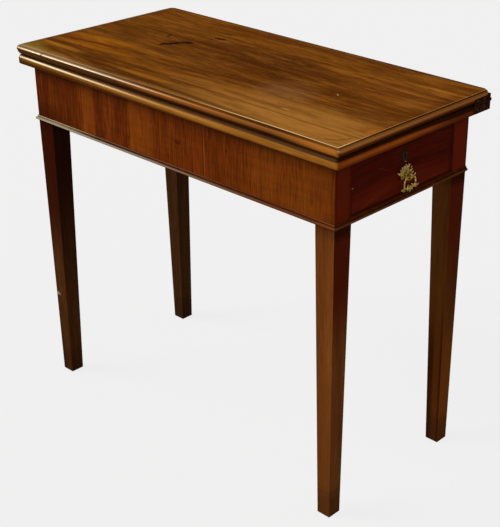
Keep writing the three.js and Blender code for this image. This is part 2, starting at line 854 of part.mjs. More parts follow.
const runnerStart = drawerRailBack - seatGap;
const frontRunnerY = frontRailInner + seatGap;
const backRunnerY = backLegInner - seatGap;
addPart('front_drawer_runner', block(
  runnerEnd, runnerStart, frontRunnerY, frontRunnerY + runnerWidth, friezeBottom, drawerRailTop,
), oak);
addPart('back_drawer_runner', block(
  runnerEnd, runnerStart, backRunnerY - runnerWidth, backRunnerY, friezeBottom, drawerRailTop,
), oak);
const guideBottom = drawerRailTop + seatGap;
addPart('drawer_guide', block(
  runnerEnd, railEnd, frontRunnerY, frontLegInner, guideBottom, guideBottom + guideHeight,
), oak);
const stopFront = drawerFrontBack - seatGap;
for (const [name, side] of Object.entries({ front: -1, back: 1 })) {
  const y = drawerCentreY + side * drawerHalfWidth * stopSpreadShare;
  addPart(`${name}_drawer_stop`, block(
    stopFront - stopDepth, stopFront,
    y - stopWidth / 2, y + stopWidth / 2,
    guideBottom, guideBottom + stopHeight,
  ), oak);
}

// Glue blocks in the angle between the rails and the top
function wedge(corner, sizeU, drop) {
  const [u, v] = corner;
  return [[u, v], [u + sizeU, v], [u, v - drop]];
}
const frontBlockSize = frontLegInner - frontRunnerY - blockClearance;
for (const [name, side] of Object.entries(sides)) {
  const x = (side * friezeEnd) / 4;
  const outline = wedge([frontRunnerY, friezeTop], frontBlockSize, frontBlockSize);
  const half = blockLength / 2;
  addPart(`front_${name}_glue_block`, prism(outline, 'x', x - half, x + half), pine);
}
const backBlockX = (endRailInner + drawerEnd) / 2;
const backBlock = wedge([backRunnerY, friezeTop], -endBlockSize, endBlockSize);
addPart('back_glue_block', prism(
  backBlock, 'x', backBlockX - blockLength / 2, backBlockX + blockLength / 2,
), pine);
const leftBlock = wedge([endRailInner + seatGap, friezeTop], endBlockSize, endBlockSize);
const leftBlockY = (frontLegInner + drawerCentreY) / 2;
addPart('left_glue_block', prism(
  leftBlock, 'y', leftBlockY - blockLength / 2, leftBlockY + blockLength / 2,
), pine);

// Drawer

// Tails of a side board: trapeziums in [x, z] from a shoulder, flaring to their tips
function tailOutlines(shoulder, tip, low, high, grow) {
  const length = Math.abs(tip - shoulder);
  const way = Math.sign(tip - shoulder);
  const pitch = (high - low) / dovetailCount;
  const tipHalf = (pitch * dovetailTipShare) / 2 + grow;
  const rootHalf = tipHalf - length * dovetailSlopeShare;
  const end = tip + way * grow;
  const outlines = [];
  for (let i = 0; i < dovetailCount; i += 1) {
    const z = low + pitch * (i + 1 / 2);
    const root = shoulder - way * seatGap;
    outlines.push([
      [root, z - rootHalf],
      [end, z - tipHalf],
      [end, z + tipHalf],
      [root, z + rootHalf],
    ]);
  }
  return outlines;
}

const sideInnerHalf = drawerHalfWidth - drawerBoardThickness;
const frontShoulder = drawerFrontBack - seatGap;
const frontTailTip = drawerFrontBack + dovetailLap;
const backShoulder = drawerEnd + drawerBoardThickness + seatGap;
const backLow = panelTop + seatGap;
const panelGrooveTop = panelTop + seatGap;
const panelGrooveBottom = panelBottom - seatGap;

// Depth range of one side board, or of something inside it, from half widths
function sideRange(side, near, far) {
  const a = drawerCentreY + side * near;
  const b = drawerCentreY + side * far;
  return [Math.min(a, b), Math.max(a, b)];
}

function tails(side, atFront, grow) {
  const [shoulder, tip] = atFront ? [frontShoulder, frontTailTip] : [backShoulder, drawerEnd];
  const low = atFront ? drawerBottom : backLow;
  const [near, far] = grow > 0
    ? [sideInnerHalf - grow, drawerHalfWidth + overrun]
    : [sideInnerHalf, drawerHalfWidth];
  const [y0, y1] = sideRange(side, near, far);
  return tailOutlines(shoulder, tip, low, drawerSideTop, grow).map((outline) => (
    prism(outline, 'y', y0, y1)
  ));
}

function drawerSide(side) {
  const [y0, y1] = sideRange(side, sideInnerHalf, drawerHalfWidth);
  const [g0, g1] = sideRange(side, sideInnerHalf - overrun, sideInnerHalf + grooveDepth);
  const board = block(drawerEnd, frontShoulder, y0, y1, drawerBottom, drawerSideTop);
  const backNotch = block(
    drawerEnd - overrun, backShoulder, y0 - overrun, y1 + overrun, backLow, drawerSideTop + overrun,
  );
  const groove = block(
    drawerEnd - overrun, frontShoulder + overrun, g0, g1, panelGrooveBottom, panelGrooveTop,
  );
  const cutBoard = cut(board, [backNotch, groove]);
  return joined([cutBoard, ...tails(side, true, 0), ...tails(side, false, 0)]);
}

// Keyhole outline in [y, z]: a round head over a slot
function keyholeOutline(grow) {
  const centreZ = drawerTop - keyholeDrop;
  const headZ = centreZ + keyholeRise;
  const radius = keyholeRadius + grow;
  const slot = keyholeSlotHalfWidth + grow;
  const foot = centreZ - keyholeSlotReach - grow;
  const neck = Math.asin(slot / radius);
  const from = -Math.PI / 2 + neck;
  const to = Math.PI * 3 / 2 - neck;
  const steps = arcSteps * 2;
  const points = [[drawerCentreY - slot, foot], [drawerCentreY + slot, foot]];
  for (let step = 0; step <= steps; step += 1) {
    const angle = from + (step / steps) * (to - from);
    points.push([drawerCentreY + radius * Math.cos(angle), headZ + radius * Math.sin(angle)]);
  }
  return points;
}

const lockLow = drawerTop - lockHeight;
const lockScrewSizes = {
  headRadius: lockScrewHeadRadius,
  shankRadius: lockScrewShankRadius,
  headDepth: lockScrewHeadDepth,
  length: lockScrewLength,
};
const flangeOuter = drawerFrontBack - seatGap;
const flangeInner = flangeOuter - lockFlangeThickness;

function lockScrew(side, grow) {
  const edge = (lockWidth / 2 + lockFlangeWidth / 2) / 2;
  const y = drawerCentreY + side * edge;
  const place = new THREE.Vector3(flangeInner, y, (lockLow + drawerTop) / 2);
  return screw(lockScrewSizes, place, new THREE.Vector3(1, 0, 0), grow);
}

const handleY = drawerCentreY;
const plateZ = drawerBottom + handleHeight;
const postZ = plateZ - platePostDrop;
const postHole = circle(handleY, postZ, postRadius + seatGap, rodSides);

const frontBoard = block(
  drawerFrontBack, drawerFace,
  drawerCentreY - drawerHalfWidth, drawerCentreY + drawerHalfWidth,
  drawerBottom, drawerTop,
);
const frontGroove = block(
  drawerFrontBack - overrun, drawerFrontBack + grooveDepth + seatGap,
  drawerCentreY - sideInnerHalf, drawerCentreY + sideInnerHalf,
  panelGrooveBottom, panelGrooveTop,
);
const lockRecess = block(
  drawerFrontBack - overrun, drawerFrontBack + lockDepth + seatGap,
  drawerCentreY - lockWidth / 2 - seatGap, drawerCentreY + lockWidth / 2 + seatGap,
  lockLow - seatGap, drawerTop + overrun,
);
const escutcheonBack = drawerFace - escutcheonDepth;
addPart('drawer_front', cut(frontBoard, [
  frontGroove,
  lockRecess,
  prism(keyholeOutline(0), 'x', drawerFrontBack, drawerFace + overrun),
  prism(keyholeOutline(escutcheonWall + seatGap), 'x', escutcheonBack - seatGap, drawerFace + overrun),
  prism(postHole, 'x', drawerFrontBack - overrun, drawerFace + overrun),
  ...tails(-1, true, seatGap),
  ...tails(1, true, seatGap),
  lockScrew(-1, seatGap),
  lockScrew(1, seatGap),
]), darkMahogany);
addPart('front_drawer_side', drawerSide(-1), oak);
addPart('back_drawer_side', drawerSide(1), oak);

const backBoard = block(
  drawerEnd, drawerEnd + drawerBoardThickness,
  drawerCentreY - drawerHalfWidth, drawerCentreY + drawerHalfWidth,
  backLow, drawerSideTop,
);
addPart('drawer_back', cut(backBoard, [
  ...tails(-1, false, seatGap),
  ...tails(1, false, seatGap),
]), oak);

const panelHalf = sideInnerHalf + grooveDepth - seatGap;
addPart('drawer_bottom', joined([
  block(
    drawerEnd, frontShoulder - seatGap,
    drawerCentreY - panelHalf, drawerCentreY + panelHalf,
    panelBottom, panelTop,
  ),
  block(
    drawerEnd, drawerFrontBack + grooveDepth,
    drawerCentreY - sideInnerHalf + seatGap, drawerCentreY + sideInnerHalf - seatGap,
    panelBottom, panelTop,
  ),
]), oak);

// Keyhole lining, lock and its bolt
const lining = prism(keyholeOutline(escutcheonWall), 'x', escutcheonBack, drawerFace);
const keyway = prism(keyholeOutline(0), 'x', escutcheonBack - overrun, drawerFace + overrun);
addPart('keyhole_escutcheon', cut(lining, [keyway]), agedBrass);

const boltLow = drawerTop - boltTopInset - boltHeight;
const boltHalfX = boltThickness / 2;
const boltHalfY = boltWidth / 2;
const lockFront = drawerFrontBack + lockDepth;
const lockBody = joined([
  block(
    flangeOuter - lockFlangeThickness, lockFront,
    drawerCentreY - lockWidth / 2, drawerCentreY + lockWidth / 2,
    lockLow, drawerTop,
  ),
  block(
    flangeInner, flangeOuter,
    drawerCentreY - lockFlangeWidth / 2, drawerCentreY + lockFlangeWidth / 2,
    lockLow, drawerTop,
  ),
]);
addPart('lock_case', cut(lockBody, [
  block(
    boltX - boltHalfX - seatGap, boltX + boltHalfX + seatGap,
    drawerCentreY - boltHalfY - seatGap, drawerCentreY + boltHalfY + seatGap,
    boltLow - seatGap, drawerTop + overrun,
  ),
  prism(keyholeOutline(0), 'x', lockFront - lockKeyPocket, lockFront + overrun),
  lockScrew(-1, seatGap),
  lockScrew(1, seatGap),
]), iron);
addPart('lock_bolt', block(
  boltX - boltHalfX, boltX + boltHalfX,
  drawerCentreY - boltHalfY, drawerCentreY + boltHalfY,
  boltLow, boltLow + boltHeight,
), iron);
for (const [name, side] of Object.entries({ front: -1, back: 1 })) {
  addPart(`${name}_lock_screw`, lockScrew(side, 0), iron);
}

// Handle plate with leafy lobes and pierced eyes
function plateEdge() {
  const points = [];
  const count = plateLobeCount * arcSteps;
  for (let i = 0; i < count; i += 1) {
    const angle = (i / count) * Math.PI * 2 + Math.PI / 2;
    const lobe = 1 + plateLobeShare * Math.cos(plateLobeCount * (angle - Math.PI / 2));
    const y = handleY + plateHalfWidth * lobe * Math.cos(angle) / (1 + plateLobeShare);
    const z = plateZ + plateHalfHeight * lobe * Math.sin(angle) / (1 + plateLobeShare);
    points.push([y, z]);
  }
  return points;
}

const plateBack = drawerFace + seatGap;
const plateFront = plateBack + plateThickness;
const piercings = [];
for (const side of [-1, 1]) {
  for (const rise of [-1, 1]) {
    const y = handleY + side * plateHoleSpread;
    const z = plateZ + rise * plateHoleRise;
    const eye = circle(y, z, plateHoleRadius, rodSides / 2);
    piercings.push(prism(eye, 'x', plateBack - overrun, plateFront + overrun));
  }
}
addPart('handle_plate', cut(prism(plateEdge(), 'x', plateBack, plateFront), [
  ...piercings,
  prism(postHole, 'x', plateBack - overrun, plateFront + overrun),
]), gildedBrass);

// Post with a cross eye for the drop, held by a square nut inside the drawer
const postX = drawerFace + postEyeReach;
const nutFront = drawerFrontBack - seatGap;
const postEnd = nutFront - nutThickness - postEndLength;
const postEye = circle(postX, postZ, postEyeRadius, rodSides);
const dropHole = circle(postX, postZ, dropWireRadius + dropHoleEase, rodSides / 2);
const eyeY0 = handleY - postEyeHalfWidth;
const eyeY1 = handleY + postEyeHalfWidth;
addPart('handle_post', cut(joined([
  prism(circle(handleY, postZ, postRadius, rodSides), 'x', postEnd, postX),
  prism(postEye, 'y', eyeY0, eyeY1),
]), [
  prism(dropHole, 'y', eyeY0 - overrun, eyeY1 + overrun),
]), gildedBrass);
const nutHalf = nutSize / 2;
addPart('handle_nut', cut(block(
  nutFront - nutThickness, nutFront,
  handleY - nutHalf, handleY + nutHalf,
  postZ - nutHalf, postZ + nutHalf,
), [
  prism(postHole, 'x', nutFront - nutThickness - overrun, nutFront + overrun),
]), agedBrass);

// Drop: a wire through the eye that swells into a leafy loop below
const dropWidthShares = [0.62, 0.88, 1, 0.84, 0.46];
const dropDepthShares = [0.1, 0.32, 0.6, 0.84, 0.97];

function dropPath() {
  const half = dropWidthShares.map((share, i) => [
    dropHalfWidth * share,
    -dropHeight * dropDepthShares[i],
  ]);
  const mirrored = half.map(([u, v]) => [-u, v]).reverse();
  const outline = [
    [0, 0], [dropShoulderWidth, 0], ...half, [0, -dropHeight], ...mirrored, [-dropShoulderWidth, 0],
  ];
  const places = outline.map(([u, v]) => new THREE.Vector3(postX, handleY + u, postZ + v));
  return new THREE.CatmullRomCurve3(places, true, 'centripetal');
}

function dropLoop() {
  const path = dropPath();
  const across = new THREE.Vector3(1, 0, 0);
  const rings = [];
  for (let step = 0; step < wireSteps; step += 1) {
    const t = step / wireSteps;
    const centre = path.getPointAt(t);
    const outward = new THREE.Vector3().crossVectors(path.getTangentAt(t), across).normalize();
    const depth = Math.min((postZ - centre.z) / dropHeight, 1);
    const radius = dropWireRadius + (dropBodyRadius - dropWireRadius) * Math.max(depth, 0);
    const ring = [];
    for (let i = 0; i < wireSides; i += 1) {
      const angle = ((i + 1 / 2) / wireSides) * Math.PI * 2;
      const point = centre.clone();
      point.addScaledVector(outward, radius * Math.cos(angle));
      point.addScaledVector(across, radius * Math.sin(angle));
      ring.push(point);
    }
    rings.push(ring);
  }
  return loft(rings, null, true);
}

// Rounded leaf at the foot of the drop, set off from the middle of its lower edge
function dropLeaf(across, below, halfSizes) {
  const leaf = new THREE.SphereGeometry(1, wireSides, wireSides);
  leaf.scale(...halfSizes);
  leaf.translate(postX, handleY + across, postZ - dropHeight - below);
  return solidFrom(leaf);
}

const footLeaf = [dropLeafThickness, dropLeafRadius, dropFootLength];
const sideLeaf = [dropLeafThickness, dropLeafRadius, dropLeafLength];
const lobeLeaf = [dropLobeThickness, dropLobeReach, dropLobeHeight];
const dropLeaves = [dropLeaf(0, dropFootLength - dropLeafLength, footLeaf)];
for (const side of [-1, 1]) {
  dropLeaves.push(dropLeaf(side * dropLeafSpread, 0, sideLeaf));
  dropLeaves.push(dropLeaf(side * dropLobeSpread, 0, lobeLeaf));
}
addPart('handle_drop', joined([dropLoop(), ...dropLeaves]), gildedBrass);

export default group;
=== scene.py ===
import json
import math

import bmesh
import bpy
from mathutils import Matrix, Vector

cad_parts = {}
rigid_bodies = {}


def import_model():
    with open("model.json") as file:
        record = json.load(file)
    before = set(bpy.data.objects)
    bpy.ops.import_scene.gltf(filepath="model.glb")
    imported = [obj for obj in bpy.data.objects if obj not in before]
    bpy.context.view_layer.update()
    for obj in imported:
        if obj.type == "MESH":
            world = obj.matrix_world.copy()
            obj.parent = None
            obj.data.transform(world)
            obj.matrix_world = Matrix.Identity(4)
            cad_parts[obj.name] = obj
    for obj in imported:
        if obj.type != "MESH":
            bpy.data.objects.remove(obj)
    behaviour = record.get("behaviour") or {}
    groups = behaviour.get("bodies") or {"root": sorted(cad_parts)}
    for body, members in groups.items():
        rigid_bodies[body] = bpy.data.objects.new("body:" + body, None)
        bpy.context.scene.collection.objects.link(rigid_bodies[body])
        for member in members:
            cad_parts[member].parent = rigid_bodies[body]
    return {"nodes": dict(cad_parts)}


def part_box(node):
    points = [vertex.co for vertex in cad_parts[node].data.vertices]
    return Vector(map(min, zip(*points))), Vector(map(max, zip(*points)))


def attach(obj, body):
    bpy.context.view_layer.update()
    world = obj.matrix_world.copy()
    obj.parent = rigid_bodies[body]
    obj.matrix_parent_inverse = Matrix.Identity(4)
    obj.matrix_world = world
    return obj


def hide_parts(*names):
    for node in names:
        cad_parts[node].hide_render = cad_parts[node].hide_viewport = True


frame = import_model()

# Viewpoint
# The camera stands before the right front corner, a little above the table,
# and sees the long front on the left and the drawer end on the right.
for leftover in [o for o in bpy.data.objects if o.name in ("Cube", "Light", "Camera")]:
    bpy.data.objects.remove(leftover)
bpy.context.view_layer.update()

azimuth, elevation, roll = (math.radians(a) for a in (41.985, 26.207, 0.494))
view_back = Vector((
    math.sin(azimuth) * math.cos(elevation),
    -math.cos(azimuth) * math.cos(elevation),
    math.sin(elevation),
))
level_right = Vector((math.cos(azimuth), math.sin(azimuth), 0))
level_up = view_back.cross(level_right)
view_right = math.cos(roll) * level_right + math.sin(roll) * level_up
view_up = math.cos(roll) * level_up - math.sin(roll) * level_right
scene = bpy.context.scene
camera_data = bpy.data.cameras.new("camera")
camera_data.lens = 82.509
camera_data.sensor_width = 36
camera_data.shift_x = -0.1154
camera_data.shift_y = 0.0009
camera_data.clip_end = 60
camera = bpy.data.objects.new("camera", camera_data)
scene.collection.objects.link(camera)
camera.matrix_world = Matrix.Translation((1.54917, -1.52353, 1.38946)) @ Matrix(
    (view_right, view_up, view_back)).transposed().to_4x4()
scene.camera = camera

# Studio
# A pale floor and pale surroundings, one soft window on the left and even
# light all round. Polish and metal mirror a dimmer room, darkest behind.
PALE = (0.871, 0.871, 0.871, 1)


def add(tree, kind, inputs={}, **settings):
    """A shader node with its settings. Its inputs are values or other nodes' outputs."""
    node = tree.nodes.new("ShaderNode" + kind)
    for key, value in settings.items():
        setattr(node, key, value)
    for key, value in inputs.items():
        if isinstance(value, bpy.types.NodeSocket):
            tree.links.new(value, node.inputs[key])
        else:
            node.inputs[key].default_value = value
    return node


def maths(tree, operation, a, b=0.0, c=0.0, clamp=False):
    values = {0: a, 1: b, 2: c} if operation == "MULTIPLY_ADD" else {0: a, 1: b}
    return add(tree, "Math", values, operation=operation, use_clamp=clamp).outputs[0]


def vectors(tree, operation, a, b=(0, 0, 0), c=(0, 0, 0), output=0):
    values = {0: a, 1: b, 2: c} if operation == "MULTIPLY_ADD" else {0: a, 1: b}
    return add(tree, "VectorMath", values, operation=operation).outputs[output]


def ramp(tree, value, low, high, bottom=0.0, top=1.0):
    """The value eased from low..high to bottom..top."""
    return add(tree, "MapRange", {
        "Value": value, "From Min": low, "From Max": high, "To Min": bottom, "To Max": top,
    }, interpolation_type="SMOOTHSTEP").outputs[0]


def ray_kinds(tree):
    """Masks for rays that see the background straight or through glass, and for mirrored rays."""
    seen = add(tree, "LightPath").outputs
    straight = maths(tree, "ADD", seen["Is Camera Ray"], seen["Is Transmission Ray"], clamp=True)
    return straight, seen["Is Glossy Ray"]


world = bpy.data.worlds.new("studio")
scene.world = world
world.cycles.sampling_method = "NONE"
world.use_nodes = True
tree = world.node_tree
tree.nodes.clear()
straight, mirrored = ray_kinds(tree)
way = add(tree, "TexCoord").outputs["Generated"]
to_back_wall = vectors(tree, "DOT_PRODUCT", way, (-0.70, 0.64, 0.31), output="Value")
to_window = vectors(tree, "DOT_PRODUCT", way, (-0.80, -0.28, 0.53), output="Value")
to_skylight = vectors(tree, "DOT_PRODUCT", way, (0.37, -0.50, 0.78), output="Value")
room_level = ramp(tree, to_back_wall, 0.35, 0.9, 0.28, 0.02)
window_level = ramp(tree, to_window, 0.96, 0.99, 0.0, 9.0)
skylight_level = ramp(tree, to_skylight, 0.93, 0.98, 0.0, 5.0)
glow = maths(tree, "ADD", window_level, skylight_level)
ambient = add(tree, "Background", {"Color": (1, 1, 1, 1), "Strength": 0.45})
backdrop = add(tree, "Background", {"Color": PALE, "Strength": 1.0})
room = add(tree, "Background", {
    "Color": PALE, "Strength": maths(tree, "ADD", room_level, glow)})
unseen = add(tree, "MixShader", {0: mirrored, 1: ambient.outputs[0], 2: room.outputs[0]})
walls = add(tree, "MixShader", {0: straight, 1: unseen.outputs[0], 2: backdrop.outputs[0]})
add(tree, "OutputWorld", {"Surface": walls.outputs[0]})

floor_mesh = bpy.data.meshes.new("floor")
reach = 30
corners = [(-reach, -reach, 0), (reach, -reach, 0), (reach, reach, 0), (-reach, reach, 0)]
floor_mesh.from_pydata(corners, [], [(0, 1, 2, 3)])
floor = bpy.data.objects.new("floor", floor_mesh)
floor.location.z = -0.0006
scene.collection.objects.link(floor)
floor_paint = bpy.data.materials.new("pale floor")
floor_paint.use_nodes = True
tree = floor_paint.node_tree
tree.nodes.clear()
straight, mirrored = ray_kinds(tree)
ground = add(tree, "BsdfDiffuse", {"Color": (0.5, 0.5, 0.5, 1)})
shown = add(tree, "Emission", {
    "Color": (0.914, 0.914, 0.914, 1), "Strength": ramp(tree, straight, 0.0, 1.0, 0.08, 1.0)})
share = maths(tree, "MULTIPLY_ADD", straight, 0.9, mirrored, clamp=True)
surface = add(tree, "MixShader", {0: share, 1: ground.outputs[0], 2: shown.outputs[0]})
add(tree, "OutputMaterial", {"Surface": surface.outputs[0]})
floor_mesh.materials.append(floor_paint)

window_light = bpy.data.lights.new("window", "SUN")
window_light.energy = 3.0
window_light.angle = math.radians(32)
window_light.color = (1, 0.985, 0.96)
window = bpy.data.objects.new("window", window_light)
window.rotation_mode = "QUATERNION"
window.rotation_quaternion = Vector((-0.62, -0.52, 0.59)).to_track_quat("Z", "Y")
scene.collection.objects.link(window)

scene.view_settings.view_transform = "Standard"

# Legs
# Three fixed legs and the gate leg, solid mahogany, square and tapered,
# hand polished. The feet are dark and rubbed, the arrises worn a little pale.


def group(name, inputs, outputs):
    """An empty node group with named sockets: its tree, what it is given and its result."""
    made = bpy.data.node_groups.new(name, "ShaderNodeTree")
    for side, sockets in (("INPUT", inputs), ("OUTPUT", outputs)):
        for label, kind in sockets:
            made.interface.new_socket(label, in_out=side, socket_type="NodeSocket" + kind)
    return made, made.nodes.new("NodeGroupInput").outputs, made.nodes.new("NodeGroupOutput")


def noise(tree, place, scale, detail=2.0, roughness=0.5, output="Fac"):
    return add(tree, "TexNoise", {
        "Vector": place, "Scale": scale, "Detail": detail, "Roughness": roughness}).outputs[output]


def tint(tree, share, a, b):
    """Colour a, covered with colour b by the share."""
    return add(tree, "Mix", {0: share, 6: a, 7: b}, data_type="RGBA").outputs[2]


# Grain of a board: broad bands, streaks and open pores, all drawn out along it
wood_figure, given, result = group(
    "wood figure",
    [("Place", "Vector"), ("Stretch", "Vector"), ("Offset", "Vector"), ("Light", "Color"),
     ("Middle", "Color"), ("Dark", "Color"), ("Figure", "Float"), ("Streaks", "Float")],
    [("Color", "Color"), ("Height", "Float")])
tree = wood_figure
coarse = vectors(tree, "MULTIPLY_ADD", given["Place"], (4, 4, 4), given["Offset"])
wander = noise(tree, coarse, 1.0, 1.0, output="Color")
sway = vectors(tree, "MULTIPLY_ADD", wander, (0.03, 0.03, 0.03), (-0.015, -0.015, -0.015))
swayed = vectors(tree, "ADD", given["Place"], sway)
bent = vectors(tree, "MULTIPLY_ADD", swayed, given["Stretch"], given["Offset"])
bands = maths(tree, "SUBTRACT", noise(tree, bent, 1.0, 2.0), 0.5)
streaks = maths(tree, "SUBTRACT", noise(tree, bent, 5.0, 4.0, 0.6), 0.5)
threads = maths(tree, "SUBTRACT", noise(tree, bent, 20.0, 3.0, 0.6), 0.5)
pores = ramp(tree, noise(tree, bent, 42.0, 2.0), 0.58, 0.72)
shade = maths(tree, "MULTIPLY_ADD", bands, given["Figure"], 0.5)
shade = maths(tree, "MULTIPLY_ADD", streaks, given["Streaks"], shade)
shade = maths(tree, "MULTIPLY_ADD", threads, maths(tree, "MULTIPLY", given["Streaks"], 0.6), shade)
middle_share = maths(tree, "MULTIPLY", shade, 2.0, clamp=True)
middle_colour = tint(tree, middle_share, given["Dark"], given["Middle"])
light_share = maths(tree, "MULTIPLY_ADD", shade, 2.0, -1.0, clamp=True)
light_colour = tint(tree, light_share, middle_colour, given["Light"])
pored_colour = tint(tree, maths(tree, "MULTIPLY", pores, 0.3), light_colour, given["Dark"])
tree.links.new(pored_colour, result.inputs["Color"])
tree.links.new(maths(tree, "SUBTRACT", threads, pores), result.inputs["Height"])

# Uneven gloss of old hand polish
polish_wear, given, result = group("polish wear", [("Place", "Vector"), ("Smudges", "Float")],
                                   [("Roughness", "Float")])
tree = polish_wear
cloud = ramp(tree, noise(tree, given["Place"], 9.0, 5.0), 0.35, 0.7)
speck = ramp(tree, noise(tree, given["Place"], 70.0, 4.0), 0.5, 0.75)
smudged = maths(tree, "MULTIPLY", cloud, given["Smudges"])
tree.links.new(maths(tree, "MULTIPLY_ADD", speck, 0.08, smudged), result.inputs["Roughness"])

# Where an arris is rounded, the normal leans between two faces
arris_wear, given, result = group("arris wear", [("Place", "Vector"), ("Normal", "Vector")],
                                  [("Mask", "Float")])
tree = arris_wear
leaning = add(tree, "SeparateXYZ", {0: vectors(tree, "ABSOLUTE", given["Normal"])}).outputs
most = maths(tree, "MAXIMUM", maths(tree, "MAXIMUM", leaning[0], leaning[1]), leaning[2])
patchy = ramp(tree, noise(tree, given["Place"], 26.0, 3.0), 0.4, 0.62, 0.25, 1.0)
tree.links.new(maths(tree, "MULTIPLY", ramp(tree, most, 0.96, 0.8), patchy), result.inputs["Mask"])


def srgb(red, green, blue):
    """Linear colour, with alpha, from 0..255 screen values."""
    return (*(((c / 255 + 0.055) / 1.055) ** 2.4 if c > 10 else c / 255 / 12.92
              for c in (red, green, blue)), 1)


def inside_oval(tree, place, centre, size, soft, turn=(0, 0, 0)):
    """1 inside an oval with these half sizes, fading over the outer, soft share of them."""
    local = add(tree, "Mapping", {
        "Vector": place, "Location": centre, "Rotation": turn, "Scale": size,
    }, vector_type="TEXTURE").outputs[0]
    return ramp(tree, vectors(tree, "LENGTH", local, output="Value"), 1.0, 1.0 - soft)


class Wood:
    """A wood finish coloured by the grain, to which the section of a piece adds its marks."""

    fineness = 17
    shine = 0.025
    smudges = 0.16
    relief = 0.1

    def __init__(self, name, light, middle, dark, along, figure=2.0, streaks=1.3, gloss=0.38,
                 offset=(0, 0, 0), worn=0.35, ratio=20):
        self.material = bpy.data.materials.new(name)
        self.material.use_nodes = True
        tree = self.tree = self.material.node_tree
        tree.nodes.clear()
        coordinates = add(tree, "TexCoord")
        self.place = coordinates.outputs["Object"]
        self.normal = coordinates.outputs["Normal"]
        stretch = [self.fineness / ratio if axis == along else self.fineness for axis in "xyz"]
        figure_node = add(tree, "Group", node_tree=wood_figure)
        for label, value in (("Light", light), ("Middle", middle), ("Dark", dark)):
            figure_node.inputs[label].default_value = srgb(*value)
        for label, value in (("Figure", figure), ("Streaks", streaks), ("Stretch", stretch),
                             ("Offset", offset)):
            figure_node.inputs[label].default_value = value
        tree.links.new(self.place, figure_node.inputs["Place"])
        gloss_node = add(tree, "Group", node_tree=polish_wear)
        gloss_node.inputs["Smudges"].default_value = self.smudges
        tree.links.new(self.place, gloss_node.inputs["Place"])
        self.colour = figure_node.outputs["Color"]
        self.height = figure_node.outputs["Height"]
        self.worn = worn
        self.worn_colour = light
        self.roughness = maths(tree, "ADD", gloss_node.outputs[0], gloss)
        self.shader = add(tree, "BsdfPrincipled", {"Specular IOR Level": self.shine})
        add(tree, "OutputMaterial", {"Surface": self.shader.outputs[0]})

    def axis(self, name):
        """One coordinate over the object, in metres."""
        parts = add(self.tree, "SeparateXYZ", {0: self.place})
        return parts.outputs[name.upper()]

    def facing(self, direction):
        """1 on faces that look along a direction."""
        lean = vectors(self.tree, "DOT_PRODUCT", self.normal, direction, output="Value")
        return ramp(self.tree, lean, 0.5, 0.8)

    def band(self, value, low, high, soft):
        """1 where the value lies between low and high, fading over the soft width."""
        rise = ramp(self.tree, value, low - soft, low + soft)
        fall = ramp(self.tree, value, high - soft, high + soft, 1.0, 0.0)
        return maths(self.tree, "MULTIPLY", rise, fall)

    def spot(self, centre, size, turn=(0, 0, 0), soft=0.35, ragged=0.0):
        """1 inside an oval with its half sizes, turned in its plane, with a ragged outline."""
        place = self.place
        if ragged:
            jitter = noise(self.tree, self.place, 160.0, 3.0, output="Color")
            place = vectors(self.tree, "MULTIPLY_ADD", jitter, (ragged, ragged, ragged), self.place)
            centre = [c + ragged / 2 for c in centre]
        return inside_oval(self.tree, place, centre, size, soft, turn)

    def fade(self, value, low, high, bottom=0.0, top=1.0):
        return ramp(self.tree, value, low, high, bottom, top)

    def both(self, mask, *others):
        """Where all the masks are."""
        for other in others:
            mask = maths(self.tree, "MULTIPLY", mask, other)
        return mask

    def minus(self, a, b):
        return maths(self.tree, "SUBTRACT", a, b)

    def scaled(self, value, by, plus):
        return maths(self.tree, "MULTIPLY_ADD", value, by, plus)

    def pattern(self, stretch, detail, roughness=0.5):
        """Noise drawn out differently along the three axes."""
        stretched = vectors(self.tree, "MULTIPLY", self.place, stretch)
        return noise(self.tree, stretched, 1.0, detail, roughness)

    def stain(self, mask, colour, share=1.0):
        amount = maths(self.tree, "MULTIPLY", mask, share, clamp=True)
        self.colour = tint(self.tree, amount, self.colour, srgb(*colour))

    def coat(self, mask, weight, roughness):
        """A glossier film of polish where the mask is."""
        self.shader.inputs["Coat Roughness"].default_value = roughness
        self.tree.links.new(self.both(mask, weight), self.shader.inputs["Coat Weight"])

    def done(self):
        tree = self.tree
        if self.worn:
            edges = add(tree, "Group", node_tree=arris_wear)
            tree.links.new(self.place, edges.inputs["Place"])
            tree.links.new(self.normal, edges.inputs["Normal"])
            self.stain(edges.outputs[0], self.worn_colour, self.worn)
        bump = add(tree, "Bump", {
            "Height": self.height, "Strength": self.relief, "Distance": 0.0006})
        tree.links.new(self.colour, self.shader.inputs["Base Color"])
        tree.links.new(self.roughness, self.shader.inputs["Roughness"])
        tree.links.new(bump.outputs[0], self.shader.inputs["Normal"])
        return self.material


